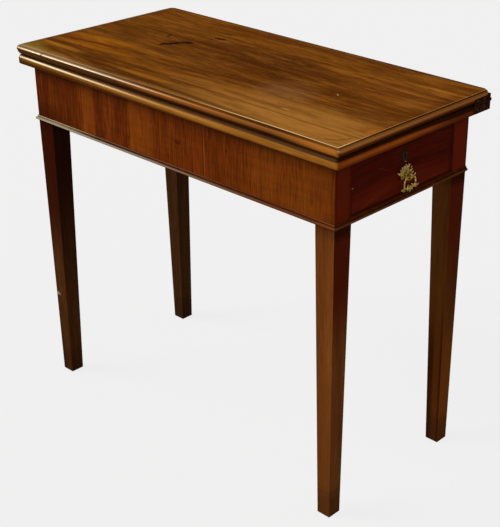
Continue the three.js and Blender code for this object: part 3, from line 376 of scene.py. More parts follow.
def dress(node, material, ease=0.0005, smooth_below=32):
    """Gives a CAD node its finish, soft shading on its curves and slightly eased edges."""
    piece = frame["nodes"][node]
    mesh = piece.data
    if "custom_normal" in mesh.attributes:
        mesh.attributes.remove(mesh.attributes["custom_normal"])
    mesh.materials.clear()
    mesh.materials.append(material)
    corners = [tuple(round(c, 6) for c in v.co) for v in mesh.vertices]
    beside = {}
    for face in mesh.polygons:
        for a, b in face.edge_keys:
            beside.setdefault(frozenset((corners[a], corners[b])), []).append(face.normal.copy())
    limit = math.cos(math.radians(smooth_below))
    mesh.polygons.foreach_set("use_smooth", [True] * len(mesh.polygons))
    for edge in mesh.edges:
        normals = beside.get(frozenset(corners[v] for v in edge.vertices), [])
        edge.use_edge_sharp = len(normals) == 2 and normals[0].dot(normals[1]) < limit
    weld = piece.modifiers.new("weld", "WELD")
    weld.merge_threshold = 0.00001
    if ease:
        bevel = piece.modifiers.new("eased edges", "BEVEL")
        bevel.width = ease
        bevel.segments = 2
        bevel.limit_method = "ANGLE"
        bevel.angle_limit = math.radians(smooth_below)
        bevel.harden_normals = True


frieze_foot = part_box("front_veneer")[0].z


class LegWood(Wood):
    """Leg mahogany: its own tones on each side, dark and rubbed at the foot."""

    def __init__(self, name, light, middle, dark, offset):
        super().__init__(name, light, middle, dark, "z", offset=offset, figure=1.4, streaks=1.2)
        self.worn_colour = [min(255, c * 1.25) for c in light]
        self.height_up = self.axis("z")
        self.right_side = self.facing((1, 0, 0))
        self.front_side = self.facing((0, -1, 0))

    def tone(self, side, low, high, colour, share):
        """A tone on one side that grows from one height to another."""
        self.stain(self.both(side, self.fade(self.height_up, low, high)), colour, share)

    def finished(self):
        # Painted shade on the leg just under the frieze, deeper on the side that faces right
        shade_under_frieze = self.band(self.height_up, frieze_foot - 0.016, frieze_foot, 0.014)
        self.stain(shade_under_frieze, (26, 6, 1), 0.45)
        self.stain(self.both(shade_under_frieze, self.right_side), (22, 4, 1), 0.6)
        self.stain(self.fade(self.height_up, 0.03, 0.075, 1.0, 0.0), (40, 20, 8), 0.42)
        self.stain(self.band(self.height_up, 0.051, 0.0535, 0.0015), (30, 12, 4), 0.22)
        return self.done()


def strip_shadow(wood, low, high):
    """The strip of leg beside the drawer is darker along its edges and under the leaf."""
    across = wood.axis("y")
    edge = wood.minus(1.0, wood.band(across, low + 0.004, high - 0.004, 0.004))
    wood.tone(wood.both(edge, wood.right_side), frieze_foot, frieze_foot + 0.01, (40, 8, 1), 0.55)
    wood.tone(wood.right_side, 0.668, 0.692, (40, 10, 1), 0.6)


front_left = LegWood("front left leg mahogany",
                     (88, 50, 20), (70, 38, 12), (44, 18, 4), (0.3, 0.1, 0.0))
front_left.tone(front_left.front_side, 0.24, 0.42, (50, 10, 0), 0.92)
# Painted shade on the side facing right, darker towards the top under the table
front_left.tone(front_left.right_side, 0.1, 0.5, (36, 8, 1), 0.85)
scuff = front_left.spot((-0.386, -0.181, 0.187), (0.012, 0.004, 0.006), soft=0.8, ragged=0.006)
front_left.stain(scuff, (150, 128, 110), 0.75)
dress("front_left_leg", front_left.finished(), ease=0.0004)

front_right = LegWood("front right leg mahogany",
                      (122, 70, 25), (106, 57, 17), (84, 40, 11), (3.1, 2.2, 1.4))
front_right.tone(front_right.right_side, 0.3, 0.48, (80, 17, 0), 0.92)
front_right.tone(front_right.right_side, frieze_foot, frieze_foot + 0.01, (100, 27, 1), 0.9)
strip_shadow(front_right, -0.1825, -0.142)
front_right.tone(front_right.front_side, 0.35, 0.05, (90, 48, 13), 0.6)
dress("front_right_leg", front_right.finished(), ease=0.0004)

rear_right = LegWood("rear right leg mahogany",
                     (104, 60, 20), (90, 47, 11), (64, 29, 6), (7.7, 5.2, 0.6))
rear_right.tone(rear_right.front_side, 0.42, 0.18, (50, 19, 1), 0.92)
pale_strip = rear_right.band(rear_right.axis("x"), 0.372, 0.386, 0.003)
rear_right.tone(rear_right.both(pale_strip, rear_right.front_side), 0.55, 0.2, (104, 54, 10), 0.35)
rear_right.tone(rear_right.right_side, 0.35, 0.15, (122, 62, 8), 0.85)
rear_right.tone(rear_right.right_side, 0.25, 0.5, (86, 20, 1), 0.9)
rear_right.tone(rear_right.right_side, frieze_foot, frieze_foot + 0.01, (106, 26, 1), 0.9)
strip_shadow(rear_right, 0.132, 0.178)
dress("rear_right_leg", rear_right.finished(), ease=0.0004)

gate = LegWood("gate leg mahogany",
               (80, 48, 20), (63, 36, 13), (46, 24, 7), (12.4, 9.1, 2.3))
gate.tone(gate.right_side, 0.1, 0.5, (58, 28, 4), 0.6)
dress("gate_leg", gate.finished(), ease=0.0004)

# Rails
# Softwood core of the front, inner back rail, the outer back rail with its
# wooden knuckle joint, and the left end rail, glued and tenoned to the legs.
bare_pine, bare_oak, dark_oak = (Wood(name, *tones, "x", gloss=0.6).done() for name, tones in (
    ("planed softwood", ((186, 150, 98), (164, 124, 76), (132, 92, 50))),
    ("planed oak", ((160, 124, 78), (138, 102, 60), (104, 72, 38))),
    ("darkened oak", ((124, 88, 50), (102, 70, 38), (74, 48, 24))),
))


def metal(name, bright, dull, low, high, scale):
    """A metal finish whose colour and gloss vary with tarnish."""
    material = bpy.data.materials.new(name)
    material.use_nodes = True
    tree = material.node_tree
    tree.nodes.clear()
    place = add(tree, "TexCoord").outputs["Object"]
    tarnish = ramp(tree, noise(tree, place, scale, 5.0, 0.6), 0.38, 0.64)
    pits = noise(tree, place, scale * 6, 3.0)
    colour = tint(tree, tarnish, srgb(*bright), srgb(*dull))
    bump = add(tree, "Bump", {"Height": pits, "Strength": 0.12, "Distance": 0.0003})
    shader = add(tree, "BsdfPrincipled", {
        "Base Color": colour, "Roughness": ramp(tree, tarnish, 0.0, 1.0, low, high),
        "Metallic": 1.0, "Normal": bump.outputs[0]})
    add(tree, "OutputMaterial", {"Surface": shader.outputs[0]})
    return material


dark_iron = metal("dark iron", (96, 92, 86), (58, 48, 40), 0.42, 0.65, 180)
for node in ("front_rail", "inner_back_rail"):
    dress(node, bare_pine)
for node in ("gate_rail", "fixed_knuckle_rail"):
    dress(node, dark_oak)
left_end = Wood("left end mahogany", (96, 38, 12), (78, 24, 6), (56, 14, 3), "y")
dress("left_end_rail", left_end.done())
dress("gate_hinge_pin", dark_iron)

# Front veneer
# One face of mahogany veneer over the front rail and both front legs, its
# grain upright, pieced at a few seams that have opened and darkened.
veneer = Wood("front veneer mahogany", (128, 62, 8), (104, 43, 3), (76, 26, 1), "z",
              figure=1.2, streaks=1.5, offset=(2.2, 0, 0.7), ratio=12, worn=0.2)
veneer_face = -0.1822
along = veneer.axis("x")
upright = veneer.axis("z")
swirl = noise(veneer.tree, veneer.place, 14.0, 3.0)
wavering = veneer.scaled(swirl, 0.006, veneer.minus(along, 0.003))
for low, high, soft, tone, strength in (
    (-0.400, -0.350, 0.006, (78, 24, 1), 0.75),
    (-0.354, -0.256, 0.01, (84, 31, 1), 0.75),
    (-0.248, -0.214, 0.005, (128, 62, 6), 0.6),
    (-0.210, -0.184, 0.006, (72, 22, 1), 0.6),
    (-0.160, -0.118, 0.008, (84, 30, 2), 0.5),
    (-0.112, -0.046, 0.01, (130, 63, 6), 0.6),
    (-0.040, 0.058, 0.004, (104, 44, 3), 0.6),
    (0.0605, 0.0855, 0.002, (112, 46, 4), 0.6),
    (0.090, 0.185, 0.004, (100, 42, 4), 0.6),
    (0.205, 0.400, 0.03, (112, 55, 7), 0.6),
):
    veneer.stain(veneer.band(wavering, low, high, soft), tone, strength)
ripple = veneer.pattern((12, 12, 90), 3.0)
veneer.stain(veneer.fade(ripple, 0.42, 0.62), (60, 20, 1), 0.16)
fine_streaks = veneer.pattern((260, 1, 20), 3.0, 0.65)
veneer.stain(veneer.fade(fine_streaks, 0.51, 0.66), (48, 14, 1), 0.4)
veneer.stain(veneer.fade(fine_streaks, 0.48, 0.34), (132, 62, 12), 0.35)
for centre, width, strength in (
    (-0.2505, 0.0011, 0.7), (-0.112, 0.0016, 0.35), (0.0586, 0.0009, 0.75), (0.0868, 0.0012, 0.9),
    (-0.354, 0.0012, 0.2),
):
    seam = veneer.band(along, centre - width / 2, centre + width / 2, 0.0007)
    veneer.stain(seam, (36, 12, 1), strength)
veneer.stain(veneer.band(along, 0.0882, 0.0896, 0.0006), (150, 82, 24), 0.6)
half_seam = veneer.band(along, 0.2274, 0.2286, 0.0007)
veneer.stain(veneer.both(half_seam, veneer.fade(upright, 0.634, 0.628)), (40, 14, 1), 0.85)
for centre, size, strength in (
    ((0.021, veneer_face, 0.634), (0.012, 0.01, 0.007), 0.8),
    ((-0.116, veneer_face, 0.608), (0.004, 0.01, 0.006), 0.65),
    ((0.145, veneer_face, 0.650), (0.005, 0.01, 0.005), 0.65),
):
    veneer.stain(veneer.spot(centre, size, soft=0.8, ragged=0.006), (62, 20, 1), strength)
# Painted shade under the overhanging leaves along the top of the frieze
veneer.stain(veneer.fade(upright, 0.672, 0.692), (50, 14, 1), 0.3)
left_foot = veneer.both(veneer.fade(along, -0.24, -0.38), veneer.fade(upright, 0.635, 0.595))
veneer.stain(left_foot, (52, 14, 1), 0.6)
dress("front_veneer", veneer.done(), ease=0.0003)

# Drawer rail and bead moulding
# The rail under the drawer, and a half round bead with a small reed above it
# that runs round the foot of the frieze, mitred at the corners.
drawer_rail = Wood("end mahogany", (90, 30, 5), (76, 20, 2), (56, 12, 1), "y", streaks=1.2)
dress("drawer_rail", drawer_rail.done())

bead = Wood("bead mahogany", (112, 56, 16), (84, 38, 9), (52, 19, 4), "x", gloss=0.3, worn=0)
along = bead.axis("x")
rise = bead.minus(bead.axis("z"), frieze_foot)
over_bead = bead.band(rise, 0.0062, 0.0074, 0.0008)
bead.stain(over_bead, (22, 8, 2), bead.fade(along, -0.20, -0.34, 0.8, 0.25))
# Painted shade on the underside of the bead
bead.stain(bead.fade(rise, 0.0014, 0.0), (24, 10, 3), 0.8)
bead.stain(bead.facing((1, 0, 0)), (84, 32, 6), 0.5)
# Painted reflections of the window along the bead and reed, strongest on the front towards the left
to_left = bead.fade(along, 0.42, -0.42)
bead_highlight_band = bead.band(rise, 0.0024, 0.0050, 0.0008)
front_side = bead.facing((0, -0.94, 0.34))
highlight_share = bead.both(front_side, bead.scaled(to_left, 0.9, -0.12))
painted_bead_reflection = bead.both(bead_highlight_band, highlight_share)
bead.stain(bead_highlight_band, (118, 70, 28), 0.5)
bead.stain(painted_bead_reflection, (184, 172, 138))
reflection_above_bead = bead.band(rise, 0.0048, 0.0105, 0.0008)
far_left = bead.fade(along, -0.20, -0.34)
bead.stain(bead.both(reflection_above_bead, far_left, front_side), (160, 144, 112), 0.55)
reed = bead.band(rise, 0.0082, 0.0100, 0.0006)
bead.stain(bead.both(reed, highlight_share), (168, 150, 118), bead.fade(along, -0.15, -0.32, 0.3, 0.9))
bead.coat(painted_bead_reflection, 0.3, 0.35)
bead_finish = bead.done()
for node in ("front_bead", "right_end_bead", "left_end_bead", "gate_leg_bead"):
    dress(node, bead_finish, ease=0.0, smooth_below=50)

# Drawer bearings and blocks
# Oak runners, guide and stops under the drawer, and softwood blocks glued in
# the angles under the top.
for node in ("front_drawer_runner", "back_drawer_runner", "drawer_guide", "front_drawer_stop",
             "back_drawer_stop"):
    dress(node, bare_oak)
for place in ("front_left", "front_right", "back", "left"):
    dress(place + "_glue_block", bare_pine)

# Drawer
# Mahogany front with dovetailed oak sides and back, and an oak bottom slid
# into grooves. The front is scratched, smeared and chipped with use.
drawer = Wood("drawer front mahogany", (100, 28, 2), (84, 17, 1), (64, 10, 1), "y",
              figure=1.6, streaks=1.2, offset=(0, 3.3, 0))
upright = drawer.axis("z")
across = drawer.axis("y")
# Painted shade under the leaves along the top of the front, and darker towards its back edge
drawer.stain(drawer.fade(upright, 0.664, 0.69), (44, 8, 1), 0.6)
drawer.stain(drawer.fade(across, 0.118, 0.132), (44, 8, 1), 0.5)
# Painted shadow in the gaps at both ends and along the foot of the front
for painted_gap_shadow in (drawer.fade(across, -0.1385, -0.1402), drawer.fade(across, 0.1335, 0.1352),
                  drawer.fade(upright, 0.5935, 0.5912)):
    drawer.stain(painted_gap_shadow, (22, 5, 1), 0.8)
drawer_face = 0.392
round_keyhole = drawer.spot((drawer_face, -0.004, 0.660), (0.03, 0.016, 0.024), soft=0.8)
drawer.stain(round_keyhole, (44, 26, 3), 0.75)
keyhole_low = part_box("keyhole_escutcheon")[0]
for beside in (-0.0002, 0.0062):
    rim = (drawer_face, keyhole_low.y + beside, 0.659)
    drawer.stain(drawer.spot(rim, (0.03, 0.0011, 0.008), soft=0.8), (100, 80, 70), 0.55)
# Pale foot of the keyhole, a scratch, a smear and a chip
under_keyhole = keyhole_low.z - 0.0008
for centre, size, tilt, soft, ragged, tone, strength in (
    ((-0.0006, under_keyhole), (0.03, 0.0045, 0.0014), -0.35, 0.7, 0.0, (150, 132, 134), 0.8),
    ((-0.059, 0.648), (0.02, 0.028, 0.0006), -0.414, 0.9, 0.0, (132, 62, 24), 0.6),
    ((-0.090, 0.602), (0.02, 0.032, 0.004), 0.22, 0.9, 0.01, (124, 48, 16), 0.4),
    ((-0.1385, 0.6375), (0.02, 0.0022, 0.0013), 0.0, 0.5, 0.0, (176, 146, 116), 0.8),
):
    mark = drawer.spot((drawer_face, *centre), size, (tilt, 0, 0), soft, ragged)
    drawer.stain(mark, tone, strength)
dress("drawer_front", drawer.done())
for node in ("front_drawer_side", "back_drawer_side", "drawer_bottom", "drawer_back"):
    dress(node, bare_oak)

# Lock
# Iron lock screwed to the back of the drawer front, its bolt, and the brass
# lining of the keyhole.
aged_brass = metal("tarnished brass", (110, 92, 52), (52, 42, 26), 0.35, 0.6, 240)
keyhole_lining = metal("grey keyhole lining", (190, 170, 150), (120, 102, 88), 0.4, 0.6, 300)
dress("keyhole_escutcheon", keyhole_lining, ease=0.0002)
for node in ("lock_case", "lock_bolt", "front_lock_screw", "back_lock_screw"):
    dress(node, dark_iron, ease=0.0002)

# Handle
# Gilt brass casting: an openwork plate of radiating leaves, a post with a nut
# inside the drawer, and a leafy drop that swings in the eye of the post.
def gilding(name, grime_and_shade_depth, painted_shadows=(), painted_highlights=()):
    """Gilt brass with grime and painted shade in its recesses and on faces turned sideways, painted
    shadows in the dark patches and painted highlights in the pale ones.
    """
    material = bpy.data.materials.new(name)
    material.use_nodes = True
    tree = material.node_tree
    tree.nodes.clear()
    place = add(tree, "TexCoord").outputs["Object"]
    geometry = add(tree, "NewGeometry").outputs
    rubbed = ramp(tree, noise(tree, place, 330.0, 3.0), 0.42, 0.58)
    gilt = tint(tree, rubbed, srgb(160, 126, 22), srgb(255, 212, 112))
    # Painted highlights: pale patches where the light catches the casting
    pale = 0.0
    for centre, size in painted_highlights:
        pale = maths(tree, "MAXIMUM", pale, inside_oval(tree, place, centre, size, 0.7))
    gilt = tint(tree, maths(tree, "MULTIPLY", pale, 0.8), gilt, srgb(255, 232, 176))
    # Grime and painted shade in crevices and on faces turned sideways
    leaning = add(tree, "SeparateXYZ", {0: vectors(tree, "ABSOLUTE", geometry["Normal"])})
    grime_and_shade = maths(tree, "MAXIMUM", ramp(tree, geometry["Pointiness"], 0.505, 0.45),
                   ramp(tree, leaning.outputs[0], 0.55, 0.15))
    grime_and_shade = maths(tree, "MULTIPLY", grime_and_shade, maths(tree, "MULTIPLY_ADD", pale, -grime_and_shade_depth, grime_and_shade_depth))
    # Painted shadows in dark patches beside the post and between the leaves
    for centre, size in painted_shadows:
        grime_and_shade = maths(tree, "MAXIMUM", grime_and_shade, inside_oval(tree, place, centre, size, 0.5))
    grimed = tint(tree, grime_and_shade, gilt, srgb(46, 34, 6))
    chasing = add(tree, "Bump", {
        "Height": noise(tree, place, 420.0, 3.0), "Strength": 0.5, "Distance": 0.0006})
    casting = add(tree, "BsdfPrincipled", {
        "Base Color": grimed, "Roughness": ramp(tree, rubbed, 0.0, 1.0, 0.36, 0.22),
        "Metallic": ramp(tree, grime_and_shade, 0.0, 1.0, 0.35, 0.05), "Normal": chasing.outputs[0]})
    add(tree, "OutputMaterial", {"Surface": casting.outputs[0]})
    return material


MM = 0.001


def patches(out, marks):
    """Round patches on the handle from across, up and radius in mm, at one distance out."""
    deep = 5
    return [((out * MM, across * MM, up * MM), (deep * MM, radius * MM, radius * MM))
            for across, up, radius in marks]


# Painted shadows and painted highlights on the plate and the drop
plate_painted_shadows = patches(394, (
    (-2.4, 624.2, 4.2), (10.5, 616.5, 3.6), (9.3, 631.2, 3.2), (-9, 634.5, 1.8)))
plate_painted_highlights = patches(395.5, (
    (-22, 631, 3.4), (-12, 637.5, 3.2), (-5.5, 637, 4.0), (-16, 629.5, 3.4), (10.5, 634, 2.6),
    (14, 626.5, 3.2), (-3, 641, 2.6), (2, 636, 2.6)))
drop_painted_highlights = patches(404, (
    (-18.6, 617, 3.6), (1.6, 611.5, 2.8), (-10.4, 603.2, 3.2), (-25, 604.5, 3.0), (10.6, 605, 3.2),
    (12.6, 612.3, 3.2), (10.5, 625.5, 3.4), (-0.4, 621.3, 3.0), (-7.4, 610.6, 2.4), (19, 605, 2.6)))
plate_gilt = gilding("gilt plate brass", 0.93, plate_painted_shadows, plate_painted_highlights)
drop_gilt = gilding("gilt drop brass", 0.88, painted_highlights=drop_painted_highlights)
dress("handle_post", gilding("gilt post brass", 0.3), ease=0.0002)
dress("handle_nut", aged_brass, ease=0.0002)


def curve_through(points):
    """Evenly stepped points on a smooth curve through the given ones, whatever they hold."""
    steps = 6
    last = len(points) - 1
    found = []
    for i in range(last):
        around = (max(i - 1, 0), i, i + 1, min(i + 2, last))
        before, a, b, after = (Vector(points[k]) for k in around)
        bend = 2 * before - 5 * a + 4 * b - after
        twist = 3 * a - before - 3 * b + after
        for step in range(steps):
            t = step / steps
            found.append(0.5 * (2 * a + (b - before) * t + bend * t ** 2 + twist * t ** 3))
    return found + [Vector(points[last])]


def strip(mesh, origin, points, groove=0.0):
    """A leaf or rod along a curve. Each point is out, across, up, half width and rise, in mm."""
    sides = 12
    least = 0.15
    rail = curve_through(points)
    rings = []
    for i, point in enumerate(rail):
        before, after = rail[max(i - 1, 0)], rail[min(i + 1, len(rail) - 1)]
        along = Vector([after[k] - before[k] for k in range(3)]).normalized()
        beside = along.cross(Vector((1, 0, 0))).normalized()
        outward = beside.cross(along)
        width, rise = max(point[3], least), max(point[4], least)
        ring = []
        for k in range(sides):
            angle = 2 * math.pi * k / sides
            vein = 1 - groove * math.exp(-(math.cos(angle) / 0.3) ** 2)
            lift = rise * math.sin(angle) * (vein if math.sin(angle) > 0 else 0.7)
            place = Vector(point[:3]) + beside * width * math.cos(angle) + outward * lift
            ring.append(mesh.verts.new(origin + place * MM))
        rings.append(ring)
    for low, high in zip(rings, rings[1:]):
        for k in range(sides):
            mesh.faces.new((low[k], low[(k + 1) % sides], high[(k + 1) % sides], high[k]))
    mesh.faces.new(rings[0])
    mesh.faces.new(rings[-1])


def pearl(mesh, origin, place, radius):
    centre = Matrix.Translation(origin + Vector(place) * MM)
    bmesh.ops.create_icosphere(mesh, subdivisions=3, radius=radius * MM, matrix=centre)


def cast(name, mesh, body, node, finish):
    """Fuses overlapping strips and pearls to one body of brass, in place of a CAD node."""
    bmesh.ops.recalc_face_normals(mesh, faces=mesh.faces)
    rough = bpy.data.meshes.new(name)
    mesh.to_mesh(rough)
    piece = bpy.data.objects.new(name, rough)
    scene.collection.objects.link(piece)
    fused = piece.modifiers.new("fused", "REMESH")
    fused.mode = "VOXEL"
    fused.voxel_size = 0.32 * MM
    softened = piece.modifiers.new("softened", "SMOOTH")
    softened.factor = 0.5
    softened.iterations = 2
    evaluated = piece.evaluated_get(bpy.context.evaluated_depsgraph_get())
    piece.data = bpy.data.meshes.new_from_object(evaluated)
    piece.modifiers.clear()
    piece.data.polygons.foreach_set("use_smooth", [True] * len(piece.data.polygons))
    piece.data.materials.clear()
    piece.data.materials.append(finish)
    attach(piece, body)
    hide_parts(node)


def mirrored_strips(mesh, origin, points, groove=0.0):
    for side in (-1, 1):
        strip(mesh, origin, [(out, side * across, *rest) for out, across, *rest in points], groove)


post_low, post_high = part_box("handle_post")
plate_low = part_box("handle_plate")[0]
post_middle = (post_low.y + post_high.y) / 2
eye_radius = 4.2 * MM
eye_height = post_high.z - eye_radius
on_plate = Vector((plate_low.x, post_middle, eye_height))
plate = bmesh.new()
boss = [(0.9, 3.7 * math.cos(a), 3.7 * math.sin(a), 0.9, 1.1)
        for a in (k * math.pi / 4 for k in range(9))]
strip(plate, on_plate, boss)
for leaf in (
    [(0.9, 0, 3.4, 1.2, 0.9), (1.5, 0, 10, 2.0, 1.3),
     (2.2, -0.3, 16, 1.9, 1.1), (3.2, -0.8, 20.2, 0.6, 0.5)],
    [(0.9, -1.6, 3.2, 1.0, 0.9), (1.4, -4, 9.5, 1.9, 1.3),
     (2.1, -5.4, 15, 1.9, 1.1), (3.1, -6.4, 19.2, 0.6, 0.5)],
    [(0.9, -2.6, 2.6, 1.0, 0.9), (1.3, -6.6, 8, 1.9, 1.3),
     (2.0, -9.4, 13, 1.9, 1.1), (3.0, -11.4, 17, 0.6, 0.5)],
    [(0.9, -3.4, 1.8, 1.0, 0.9), (1.2, -8.8, 6.2, 1.9, 1.3),
     (1.9, -13, 10, 1.9, 1.1), (2.9, -16.2, 13.6, 0.6, 0.5)],
    [(0.8, -3.6, 0.6, 1.0, 0.9), (1.1, -10, 3.2, 1.8, 1.2),
     (1.8, -16.4, 5.4, 1.8, 1.1), (2.7, -22, 8.2, 0.5, 0.5)],
    [(0.8, -3.4, -1, 1.0, 0.9), (1.1, -8.4, -0.6, 1.5, 1.1),
     (1.5, -12.4, 0.4, 1.4, 1.0), (2.0, -15.4, 3, 0.6, 0.6)],
    [(0.9, 1.6, 3.2, 1.0, 0.9), (1.4, 3.8, 9.5, 1.9, 1.3),
     (2.1, 5, 15, 1.9, 1.1), (3.1, 5.6, 19.6, 0.6, 0.5)],
    [(0.9, 2.6, 2.8, 1.0, 0.9), (1.3, 6.4, 8.4, 1.8, 1.2),
     (2.0, 8.8, 13.4, 1.8, 1.1), (3.0, 10.4, 17.6, 0.6, 0.5)],
    [(0.9, 3.4, 1.6, 1.0, 0.9), (1.2, 9.5, 5.6, 1.7, 1.2),
     (1.9, 13, 8.4, 1.7, 1.1), (2.9, 15.8, 11.8, 0.6, 0.5)],
    [(0.8, 3.6, 0.2, 1.0, 0.9), (1.2, 9.5, 2.2, 1.6, 1.2),
     (1.9, 14.4, 4.2, 1.8, 1.1), (2.8, 18.2, 7.2, 0.9, 0.7)],
    [(0.8, 3.4, -1.2, 1.0, 0.9), (1.2, 9, -2.6, 1.6, 1.2),
     (1.8, 15.4, -2, 1.9, 1.2), (2.6, 21, 1.4, 1.1, 0.9)],
    [(0.8, 0, -3.2, 1.0, 0.9), (1.2, 0, -6, 1.6, 1.1), (1.5, 0, -9, 0.5, 0.5)],
):
    strip(plate, on_plate, leaf, 0.5)
mirrored_strips(plate, on_plate, [(0.8, 2.4, -3, 1.0, 0.9), (1.1, 6, -5.4, 1.2, 1.0),
                                  (1.4, 10, -5.4, 1.3, 1.0), (1.7, 11, -3, 1.0, 0.9),
                                  (1.8, 9, -2.4, 0.8, 0.8)])
for place, radius in (((1.8, 17.6, -0.4), 1.7), ((1.8, 15.4, 7.6), 1.3),
                      ((1.6, -10, -3.8), 1.3), ((1.8, -17.4, 4.2), 1.4)):
    pearl(plate, on_plate, place, radius)
cast("openwork_plate", plate, "drawer", "handle_plate", plate_gilt)

in_eye = Vector((post_high.x - eye_radius, post_middle, eye_height))
drop = bmesh.new()
for arm in (
    [(0, 0, 0, 1.15, 1.15), (0, 3.2, 0, 1.15, 1.15), (0, 6.5, -0.5, 1.3, 1.3),
     (0.2, 10, -1.9, 1.5, 1.5), (0.3, 13, -4.8, 1.7, 1.6), (0.3, 15, -9, 1.8, 1.7),
     (0.2, 15.5, -13.4, 1.6, 1.6), (0.2, 14, -17.6, 1.6, 1.6), (0.3, 10, -20.2, 1.8, 1.7),
     (0.3, 5, -20.8, 2.1, 1.8), (0.3, 0, -20.8, 2.2, 1.9)],
    [(0.4, 7, -0.4, 1.0, 1.0), (0.8, 10.6, 0.4, 1.5, 1.2), (1.1, 13.2, 1.8, 1.1, 0.9),
     (1.3, 14.4, 3.4, 0.4, 0.5)],
    [(0.8, 10.5, -2.6, 0.8, 0.8), (0.9, 6.6, -4.4, 0.8, 0.8), (0.9, 3.4, -5.5, 0.7, 0.7),
     (0.9, 0, -5.9, 0.7, 0.7)],
    [(0.4, 10, -19.6, 1.4, 1.3), (0.7, 14, -19.6, 2.5, 1.5), (0.9, 18.6, -20.4, 2.4, 1.4),
     (1.2, 22, -20, 1.5, 1.0), (1.5, 24.3, -18.2, 0.4, 0.4)],
    [(0.5, 12, -20.6, 1.2, 1.2), (0.8, 15.6, -22.8, 1.5, 1.2), (1.0, 18, -24.2, 0.5, 0.5)],
    [(0.5, 1.5, -19.6, 1.3, 1.2), (1.0, 4.8, -23, 1.9, 1.4), (1.2, 7.6, -25.2, 0.6, 0.6)],
    [(0.5, 6.6, -20.2, 1.2, 1.2), (1.0, 6.4, -17.2, 1.7, 1.3), (1.0, 4.4, -14, 0.9, 0.8)],
):
    mirrored_strips(drop, in_eye, arm, 0.35)
strip(drop, in_eye, [(0.5, 0, -17.6, 1.2, 1.2), (1.2, 0, -22.4, 2.8, 1.8),
                     (1.1, 0, -26.2, 1.7, 1.1), (0.8, 0, -28.8, 0.4, 0.4)], 0.45)
pearl(drop, in_eye, (0.8, 0, -6.2), 1.0)
pearl(drop, in_eye, (1.2, 0, -18), 1.9)
for side in (-1, 1):
    pearl(drop, in_eye, (0.5, side * 15.2, -13), 1.9)
    pearl(drop, in_eye, (1.0, side * 19.6, -20), 1.7)
cast("leafy_drop", drop, "handle_drop", "handle_drop", drop_gilt)

# Top
# Two mahogany leaves. The upper one folds back and has a moulded edge with a
# quirk, the lower one has a rounded edge and is screwed down from pockets.
top = Wood("upper leaf mahogany", (140, 82, 16), (102, 54, 5), (76, 36, 2), "x",
           figure=1.0, streaks=1.8, offset=(0.0, 4.4, 0.0), worn=0, ratio=22)
top_low, top_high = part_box("upper_leaf")
surface_z = top_high.z


def oval(x, y, half_length, half_width, degrees=0, soft=0.9, ragged=0.0):
    """A mark on the table top, placed and sized in mm."""
    return top.spot((x * MM, y * MM, surface_z), (half_length * MM, half_width * MM, 0.02),
                    turn=(0, 0, math.radians(degrees)), soft=soft, ragged=ragged * MM)


# Broad tones: golden towards the front right, red brown in the middle
for mark, tone, strength in (
    ((290, -150, 420, 110), (172, 115, 46), 0.78),
    ((330, 60, 160, 70), (132, 74, 20), 0.45),
    ((30, 60, 260, 75), (78, 38, 9), 0.6),
    ((-60, -25, 200, 50), (92, 48, 13), 0.5),
    ((60, 190, 420, 30), (92, 50, 12), 0.4),
    ((-300, 130, 140, 60), (118, 66, 14), 0.4),
    ((-330, -20, 120, 34), (78, 44, 10), 0.5),
    ((165, -55, 90, 70), (136, 90, 48), 0.55),
    ((60, 90, 90, 45), (66, 33, 6), 0.55),
    ((90, 0, 60, 22), (68, 34, 8), 0.45),
    ((-392, -184, 90, 34, -8), (154, 124, 46), 0.65),
    ((-330, 172, 110, 10), (136, 84, 20), 0.5),
    ((-360, 120, 70, 12), (134, 76, 16), 0.5),
    ((-330, 40, 110, 130), (104, 60, 10), 0.5),
    ((-320, -66, 170, 26, 6), (150, 88, 4), 0.95),
    ((-390, -84, 60, 12, 10), (134, 62, 5), 0.8),
    ((-310, -108, 190, 22, 5), (146, 84, 5), 0.95),
    ((-340, -94, 130, 7, 8), (92, 34, 1), 0.95),
    ((-360, -128, 130, 8, 3), (100, 44, 2), 0.85),
    ((-350, -148, 120, 11, -2), (154, 98, 10), 0.9),
    ((-270, -160, 170, 18, 5), (76, 40, 5), 0.95),
    ((-90, -162, 150, 12), (148, 90, 16), 0.7),
    ((-70, -183, 190, 8), (82, 46, 8), 0.7),
    ((-300, -187, 80, 8), (156, 106, 38), 0.6),
    ((330, 134, 110, 6), (154, 98, 30), 0.7),
    ((330, 112, 120, 7), (92, 48, 10), 0.4),
    ((330, 88, 110, 5), (150, 94, 28), 0.65),
    ((350, 66, 110, 8), (88, 46, 10), 0.4),
    ((340, 12, 90, 7), (134, 80, 24), 0.5),
    ((340, -98, 120, 15), (162, 106, 38), 0.6),
    ((350, -45, 110, 12), (96, 54, 18), 0.45),
    ((404, 104, 34, 44), (70, 28, 2), 0.7),
    ((404, -98, 40, 40), (126, 60, 6), 0.6),
):
    top.stain(oval(*mark), tone, strength)

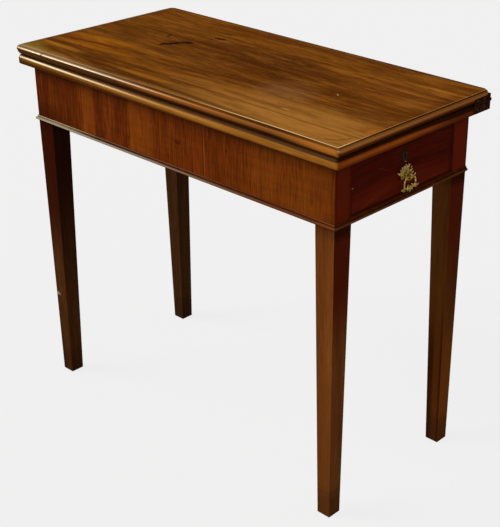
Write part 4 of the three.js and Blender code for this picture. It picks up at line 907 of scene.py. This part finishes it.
# Short crisp flecks and long dark lines that follow the grain
flecks = top.pattern((26, 420, 1), 2.0, 0.7)
top.stain(top.fade(flecks, 0.53, 0.66), (66, 32, 5), 0.32)
top.stain(top.fade(flecks, 0.45, 0.34), (172, 112, 42), 0.2)
mottle = top.pattern((8, 46, 1), 3.0, 0.6)
top.stain(top.fade(mottle, 0.50, 0.68), (70, 32, 5), 0.42)
top.stain(top.fade(mottle, 0.47, 0.32), (164, 104, 34), 0.26)
along = top.axis("x")
across = top.axis("y")
waver = top.pattern((5, 0, 0), 2.0)
for lean, start, half_width, strength, fade in (
    (0.013, 0.141, 0.0026, 0.5, (-0.5, -0.4)),
    (0.013, 0.1395, 0.0035, 0.45, (0.1, -0.2)),
    (0.060, 0.182, 0.0055, 0.6, (-0.37, -0.25)),
    (-0.050, 0.088, 0.0020, 0.5, (0.0, -0.35)),
    (-0.040, 0.112, 0.0016, 0.5, (-0.05, -0.35)),
    (-0.010, 0.028, 0.0022, 0.35, (0.0, -0.35)),
    (-0.004, -0.052, 0.0020, 0.35, (0.05, 0.3)),
    (0.002, -0.104, 0.0022, 0.35, (0.15, 0.35)),
    (-0.020, -0.118, 0.0012, 0.25, (-0.5, -0.2)),
    (0.006, 0.034, 0.0012, 0.25, (-0.1, 0.1)),
    (-0.006, 0.070, 0.0012, 0.3, (-0.3, 0.0)),
):
    line = top.scaled(along, lean, across)
    line = top.scaled(waver, 0.012, maths(top.tree, "ADD", line, start - 0.006))
    mask = top.both(top.band(line, -half_width, half_width, half_width * 0.9),
                    top.fade(along, *fade))
    top.stain(mask, (66, 34, 6), strength)

# Dark stains, knots, scuffs and a curved crack
for mark, tone, strength in (
    ((-211, -1, 14, 9, 60, 0.35, 9), (34, 16, 4), 0.9),
    ((-201, 13, 23, 8.5, 55, 0.35, 9), (34, 16, 4), 0.9),
    ((-185, 36, 16, 10, 20, 0.35, 9), (34, 16, 4), 0.9),
    ((-163, 99, 10, 7, 10, 0.4, 8), (40, 20, 5), 0.85),
    ((-154, 100, 16, 7, 0, 0.35, 5), (44, 22, 6), 0.85),
    ((-249, 46, 18, 5, -57, 0.5, 6), (56, 28, 6), 0.8),
    ((-259, -85, 20, 6, 0, 0.8, 8), (84, 36, 5), 0.65),
    ((-322, -121, 14, 5, -35, 0.8, 6), (84, 38, 6), 0.6),
    ((-62, -95, 11, 8, 20, 0.8, 6), (82, 44, 10), 0.45),
    ((196, -74, 6, 5, 0, 0.8, 4), (84, 46, 16), 0.6),
    ((142, -22, 8, 5, -60, 0.8, 4), (88, 46, 16), 0.5),
    ((206, -108, 20, 2.2, 0, 0.7, 5), (92, 54, 18), 0.6),
    ((228, -121, 12, 3, 0, 0.9, 4), (186, 138, 84), 0.6),
    ((242, -5, 6, 2.0, -35, 0.6), (198, 156, 98), 0.65),
    ((-100, 20, 30, 3, 0, 0.9, 6), (66, 36, 10), 0.3),
    ((-20, 128, 26, 3, 0, 0.9, 6), (70, 38, 10), 0.3),
    ((404, -108, 12, 26, 0, 0.9, 8), (176, 112, 30), 0.4),
):
    top.stain(oval(*mark), tone, strength)
centre = (0.365, -0.150, surface_z)
from_centre = vectors(top.tree, "DISTANCE", top.place, centre, output="Value")
circle = top.band(from_centre, 0.0330, 0.0350, 0.0008)
crack = top.both(circle, top.fade(along, 0.364, 0.372), top.fade(across, -0.148, -0.156))
top.stain(crack, (60, 32, 8), 0.95)

# Moulded edge: worn lines, the quirk, the nose with a painted highlight on its shoulder, and
# painted shade in the undercut
depth = top.minus(surface_z, top.axis("z"))
from_front = top.minus(across, top_low.y)
from_end = top.minus(top_high.x, maths(top.tree, "ABSOLUTE", along))
inward = maths(top.tree, "MINIMUM", from_end, from_front)
end_side = top.facing((1, 0, 0))
front_side = top.minus(1.0, end_side)
far_left = top.fade(along, -0.12, -0.34)
left_half = top.both(top.fade(along, 0.10, -0.30), top.fade(along, -0.412, -0.37, 0.55, 1.0))
top.stain(top.fade(across, 0.194, 0.202), (58, 32, 8), 0.85)
top.stain(top.fade(along, -0.398, -0.412), (66, 46, 14), 0.7)
for low, high, strength in ((0.0145, 0.0165, 0.5), (0.0104, 0.0128, 0.75), (0.0073, 0.0086, 0.45)):
    margin_line = top.both(top.band(from_front, low, high, 0.0006), top.scaled(far_left, 0.75, 0.2))
    top.stain(margin_line, (182, 156, 112), strength)
# The thin pale line beside the quirk, wear and a painted highlight on the arris, drifts away from
# the edge and fades along the end
drifting = top.minus(inward, top.fade(along, 0.40, 0.26, 0.0, 0.0026))
thin_line = top.band(drifting, 0.0065, 0.0089, 0.0004)
thin_line = top.both(thin_line, top.fade(along, 0.06, 0.22, 0.15, 1.0))
top.stain(thin_line, (238, 194, 124), top.fade(across, -0.196, -0.12, 0.85, 0.15))
ledge = top.fade(depth, 0.0024, 0.0019)
quirk = top.both(top.band(inward, 0.0037, 0.0070, 0.0004), ledge)
top.stain(quirk, (34, 14, 3), top.fade(along, 0.24, 0.08, 0.68, 0.42))
# Painted sheen: a greyish reflection on the edge towards the left
painted_grey_sheen = top.both(top.band(inward, 0.0012, 0.0100, 0.001), top.fade(along, 0.0, -0.22))
top.stain(painted_grey_sheen, (162, 138, 96), 0.38)
top.stain(top.both(top.fade(inward, 0.0044, 0.0038), ledge), (66, 34, 8), 0.8)
on_nose = top.fade(inward, 0.0052, 0.0046)
nose = top.both(top.band(depth, 0.0022, 0.0090, 0.001), on_nose)
top.stain(nose, (138, 80, 26), 0.75)
top.stain(top.both(nose, top.fade(along, 0.0, -0.15)), (60, 34, 8), 0.8)
# Painted shade in the undercut below the nose
undercut_shade = top.both(top.fade(depth, 0.0065, 0.0115), top.fade(inward, 0.0105, 0.0075))
top.stain(undercut_shade, (56, 24, 2), 0.85)
end_undercut = top.both(undercut_shade, top.fade(along, 0.4080, 0.4105))
top.stain(end_undercut, (90, 26, 1), top.fade(depth, 0.0110, 0.0140, 0.7, 0.1))
near_corner = top.both(top.fade(along, 0.27, 0.40), front_side)
corner_glow = top.both(top.band(depth, 0.0030, 0.0138, 0.003), near_corner)
top.stain(corner_glow, (182, 110, 34), 0.85)
# Painted highlight along the nose on the end, weaker towards the back
end_nose_highlight = top.both(top.band(depth, 0.0022, 0.0060, 0.001), end_side)
top.stain(end_nose_highlight, (194, 124, 66), top.fade(across, -0.2, 0.2, 0.68, 0.4))
# Painted highlight on the shoulder of the nose, golden from the middle leftwards and cream towards
# the left end
shoulder = top.both(top.band(depth, 0.0019, 0.0037, 0.0005), on_nose, front_side)
top.stain(top.both(shoulder, top.fade(along, 0.24, 0.0)), (188, 122, 52), 0.7)
painted_shoulder_highlight = top.both(shoulder, left_half)
top.stain(painted_shoulder_highlight, (244, 222, 186), 0.9)
leaf_front = -0.2065
corner_end = 0.4195
# Painted highlight at the front right corner of the nose
painted_corner_highlight = top.spot((corner_end, leaf_front, 0.7262), (0.0045, 0.0045, 0.0035), soft=0.6)
top.stain(painted_corner_highlight, (214, 178, 142), 0.75)
chipped = top.spot((-0.332, leaf_front, 0.7265), (0.0035, 0.010, 0.005), soft=0.6)
top.stain(chipped, (70, 44, 20), 0.8)
top.coat(painted_shoulder_highlight, 0.3, 0.3)
dress("upper_leaf", top.done())

lower = Wood("lower leaf mahogany", (158, 102, 32), (136, 84, 22), (100, 54, 10), "x",
             worn=0, ratio=14)
lower_low, lower_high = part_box("lower_leaf")
along = lower.axis("x")
across = lower.axis("y")
rise = lower.minus(lower.axis("z"), lower_low.z)
from_end = lower.minus(lower_high.x, maths(lower.tree, "ABSOLUTE", along))
inward = maths(lower.tree, "MINIMUM", from_end, lower.minus(across, lower_low.y))
end_side = lower.facing((1, 0, 0))
lower.stain(lower.fade(along, -0.18, -0.32), (100, 64, 16), 0.6)
lower.stain(end_side, (120, 44, 3), 0.85)
end_glow = lower.both(lower.band(rise, 0.0055, 0.0115, 0.002), lower.band(across, -0.2, 0.06, 0.04))
lower.stain(lower.both(end_glow, end_side), (184, 88, 20), 0.6)
to_back = lower.fade(across, -0.06, 0.12)
lower.stain(lower.both(end_side, to_back), (56, 14, 1), 0.4)
lower.stain(lower.both(end_side, lower.fade(rise, 0.0035, 0.0)), (38, 6, 1), 0.5)
# The painted highlight climbs from the middle of the edge on the right to its shoulder on the left
climb = lower.scaled(along, 0.0085, lower.minus(rise, 0.0107))
under_edge = lower.both(lower.fade(climb, -0.0035, -0.0095), lower.fade(inward, 0.0105, 0.0075))
lower.stain(under_edge, (56, 22, 1), 0.85)
front_edge = lower.both(lower.fade(across, -0.1965, -0.2000), lower.minus(1.0, end_side))
shade_line = lower.scaled(along, 0.0038, rise)
lower.stain(lower.both(lower.fade(shade_line, 0.0125, 0.0145), front_edge), (58, 30, 5), 0.94)
end_shade = lower.scaled(to_back, 0.0035, rise)
end_edge = lower.both(lower.fade(end_shade, 0.0120, 0.0145), lower.fade(along, 0.4095, 0.4120))
lower.stain(end_edge, (40, 15, 2), 0.92)
painted_edge_highlight = lower.both(lower.band(climb, -0.0015, 0.0010, 0.0009),
                         lower.band(across, -0.3, -0.2015, 0.001))
lower.stain(lower.both(painted_edge_highlight, lower.fade(along, 0.24, 0.0)), (186, 138, 70), 0.7)
lower.stain(lower.both(painted_edge_highlight, lower.fade(along, 0.04, -0.32)), (246, 226, 182), 0.9)
lower.stain(lower.both(lower.fade(along, -0.36, -0.41), front_edge), (64, 48, 24), 0.4)
# Painted highlight at the front right corner of the edge
painted_corner_highlight = lower.spot((corner_end, leaf_front, 0.7000), (0.0045, 0.0045, 0.0040), soft=0.6)
lower.stain(painted_corner_highlight, (206, 160, 96), 0.7)
lower.coat(lower.both(painted_edge_highlight, lower.fade(along, 0.42, -0.42)), 0.3, 0.3)
dress("lower_leaf", lower.done())
for place in ("front_left", "front_right", "back", "left_end"):
    dress("top_screw_" + place, dark_iron, ease=0)

# Edge hinges
# Card-table hinges of browned brass, let into the ends of both leaves at the
# back corners, with two screws in each plate and a pin through their eyes.
hinge_brass = metal("browned hinge brass", (122, 62, 16), (74, 34, 7), 0.45, 0.7, 160)
screw_brass = metal("greenish screw brass", (128, 134, 112), (84, 80, 56), 0.4, 0.6, 240)
for side in ("left", "right"):
    for level in ("upper", "lower"):
        dress(f"{side}_hinge_{level}_plate", hinge_brass, ease=0.0003)
        for number in (1, 2):
            dress(f"{side}_hinge_{level}_screw_{number}", screw_brass, ease=0)
    dress(f"{side}_hinge_pin", hinge_brass, ease=0)

bpy.context.view_layer.update()
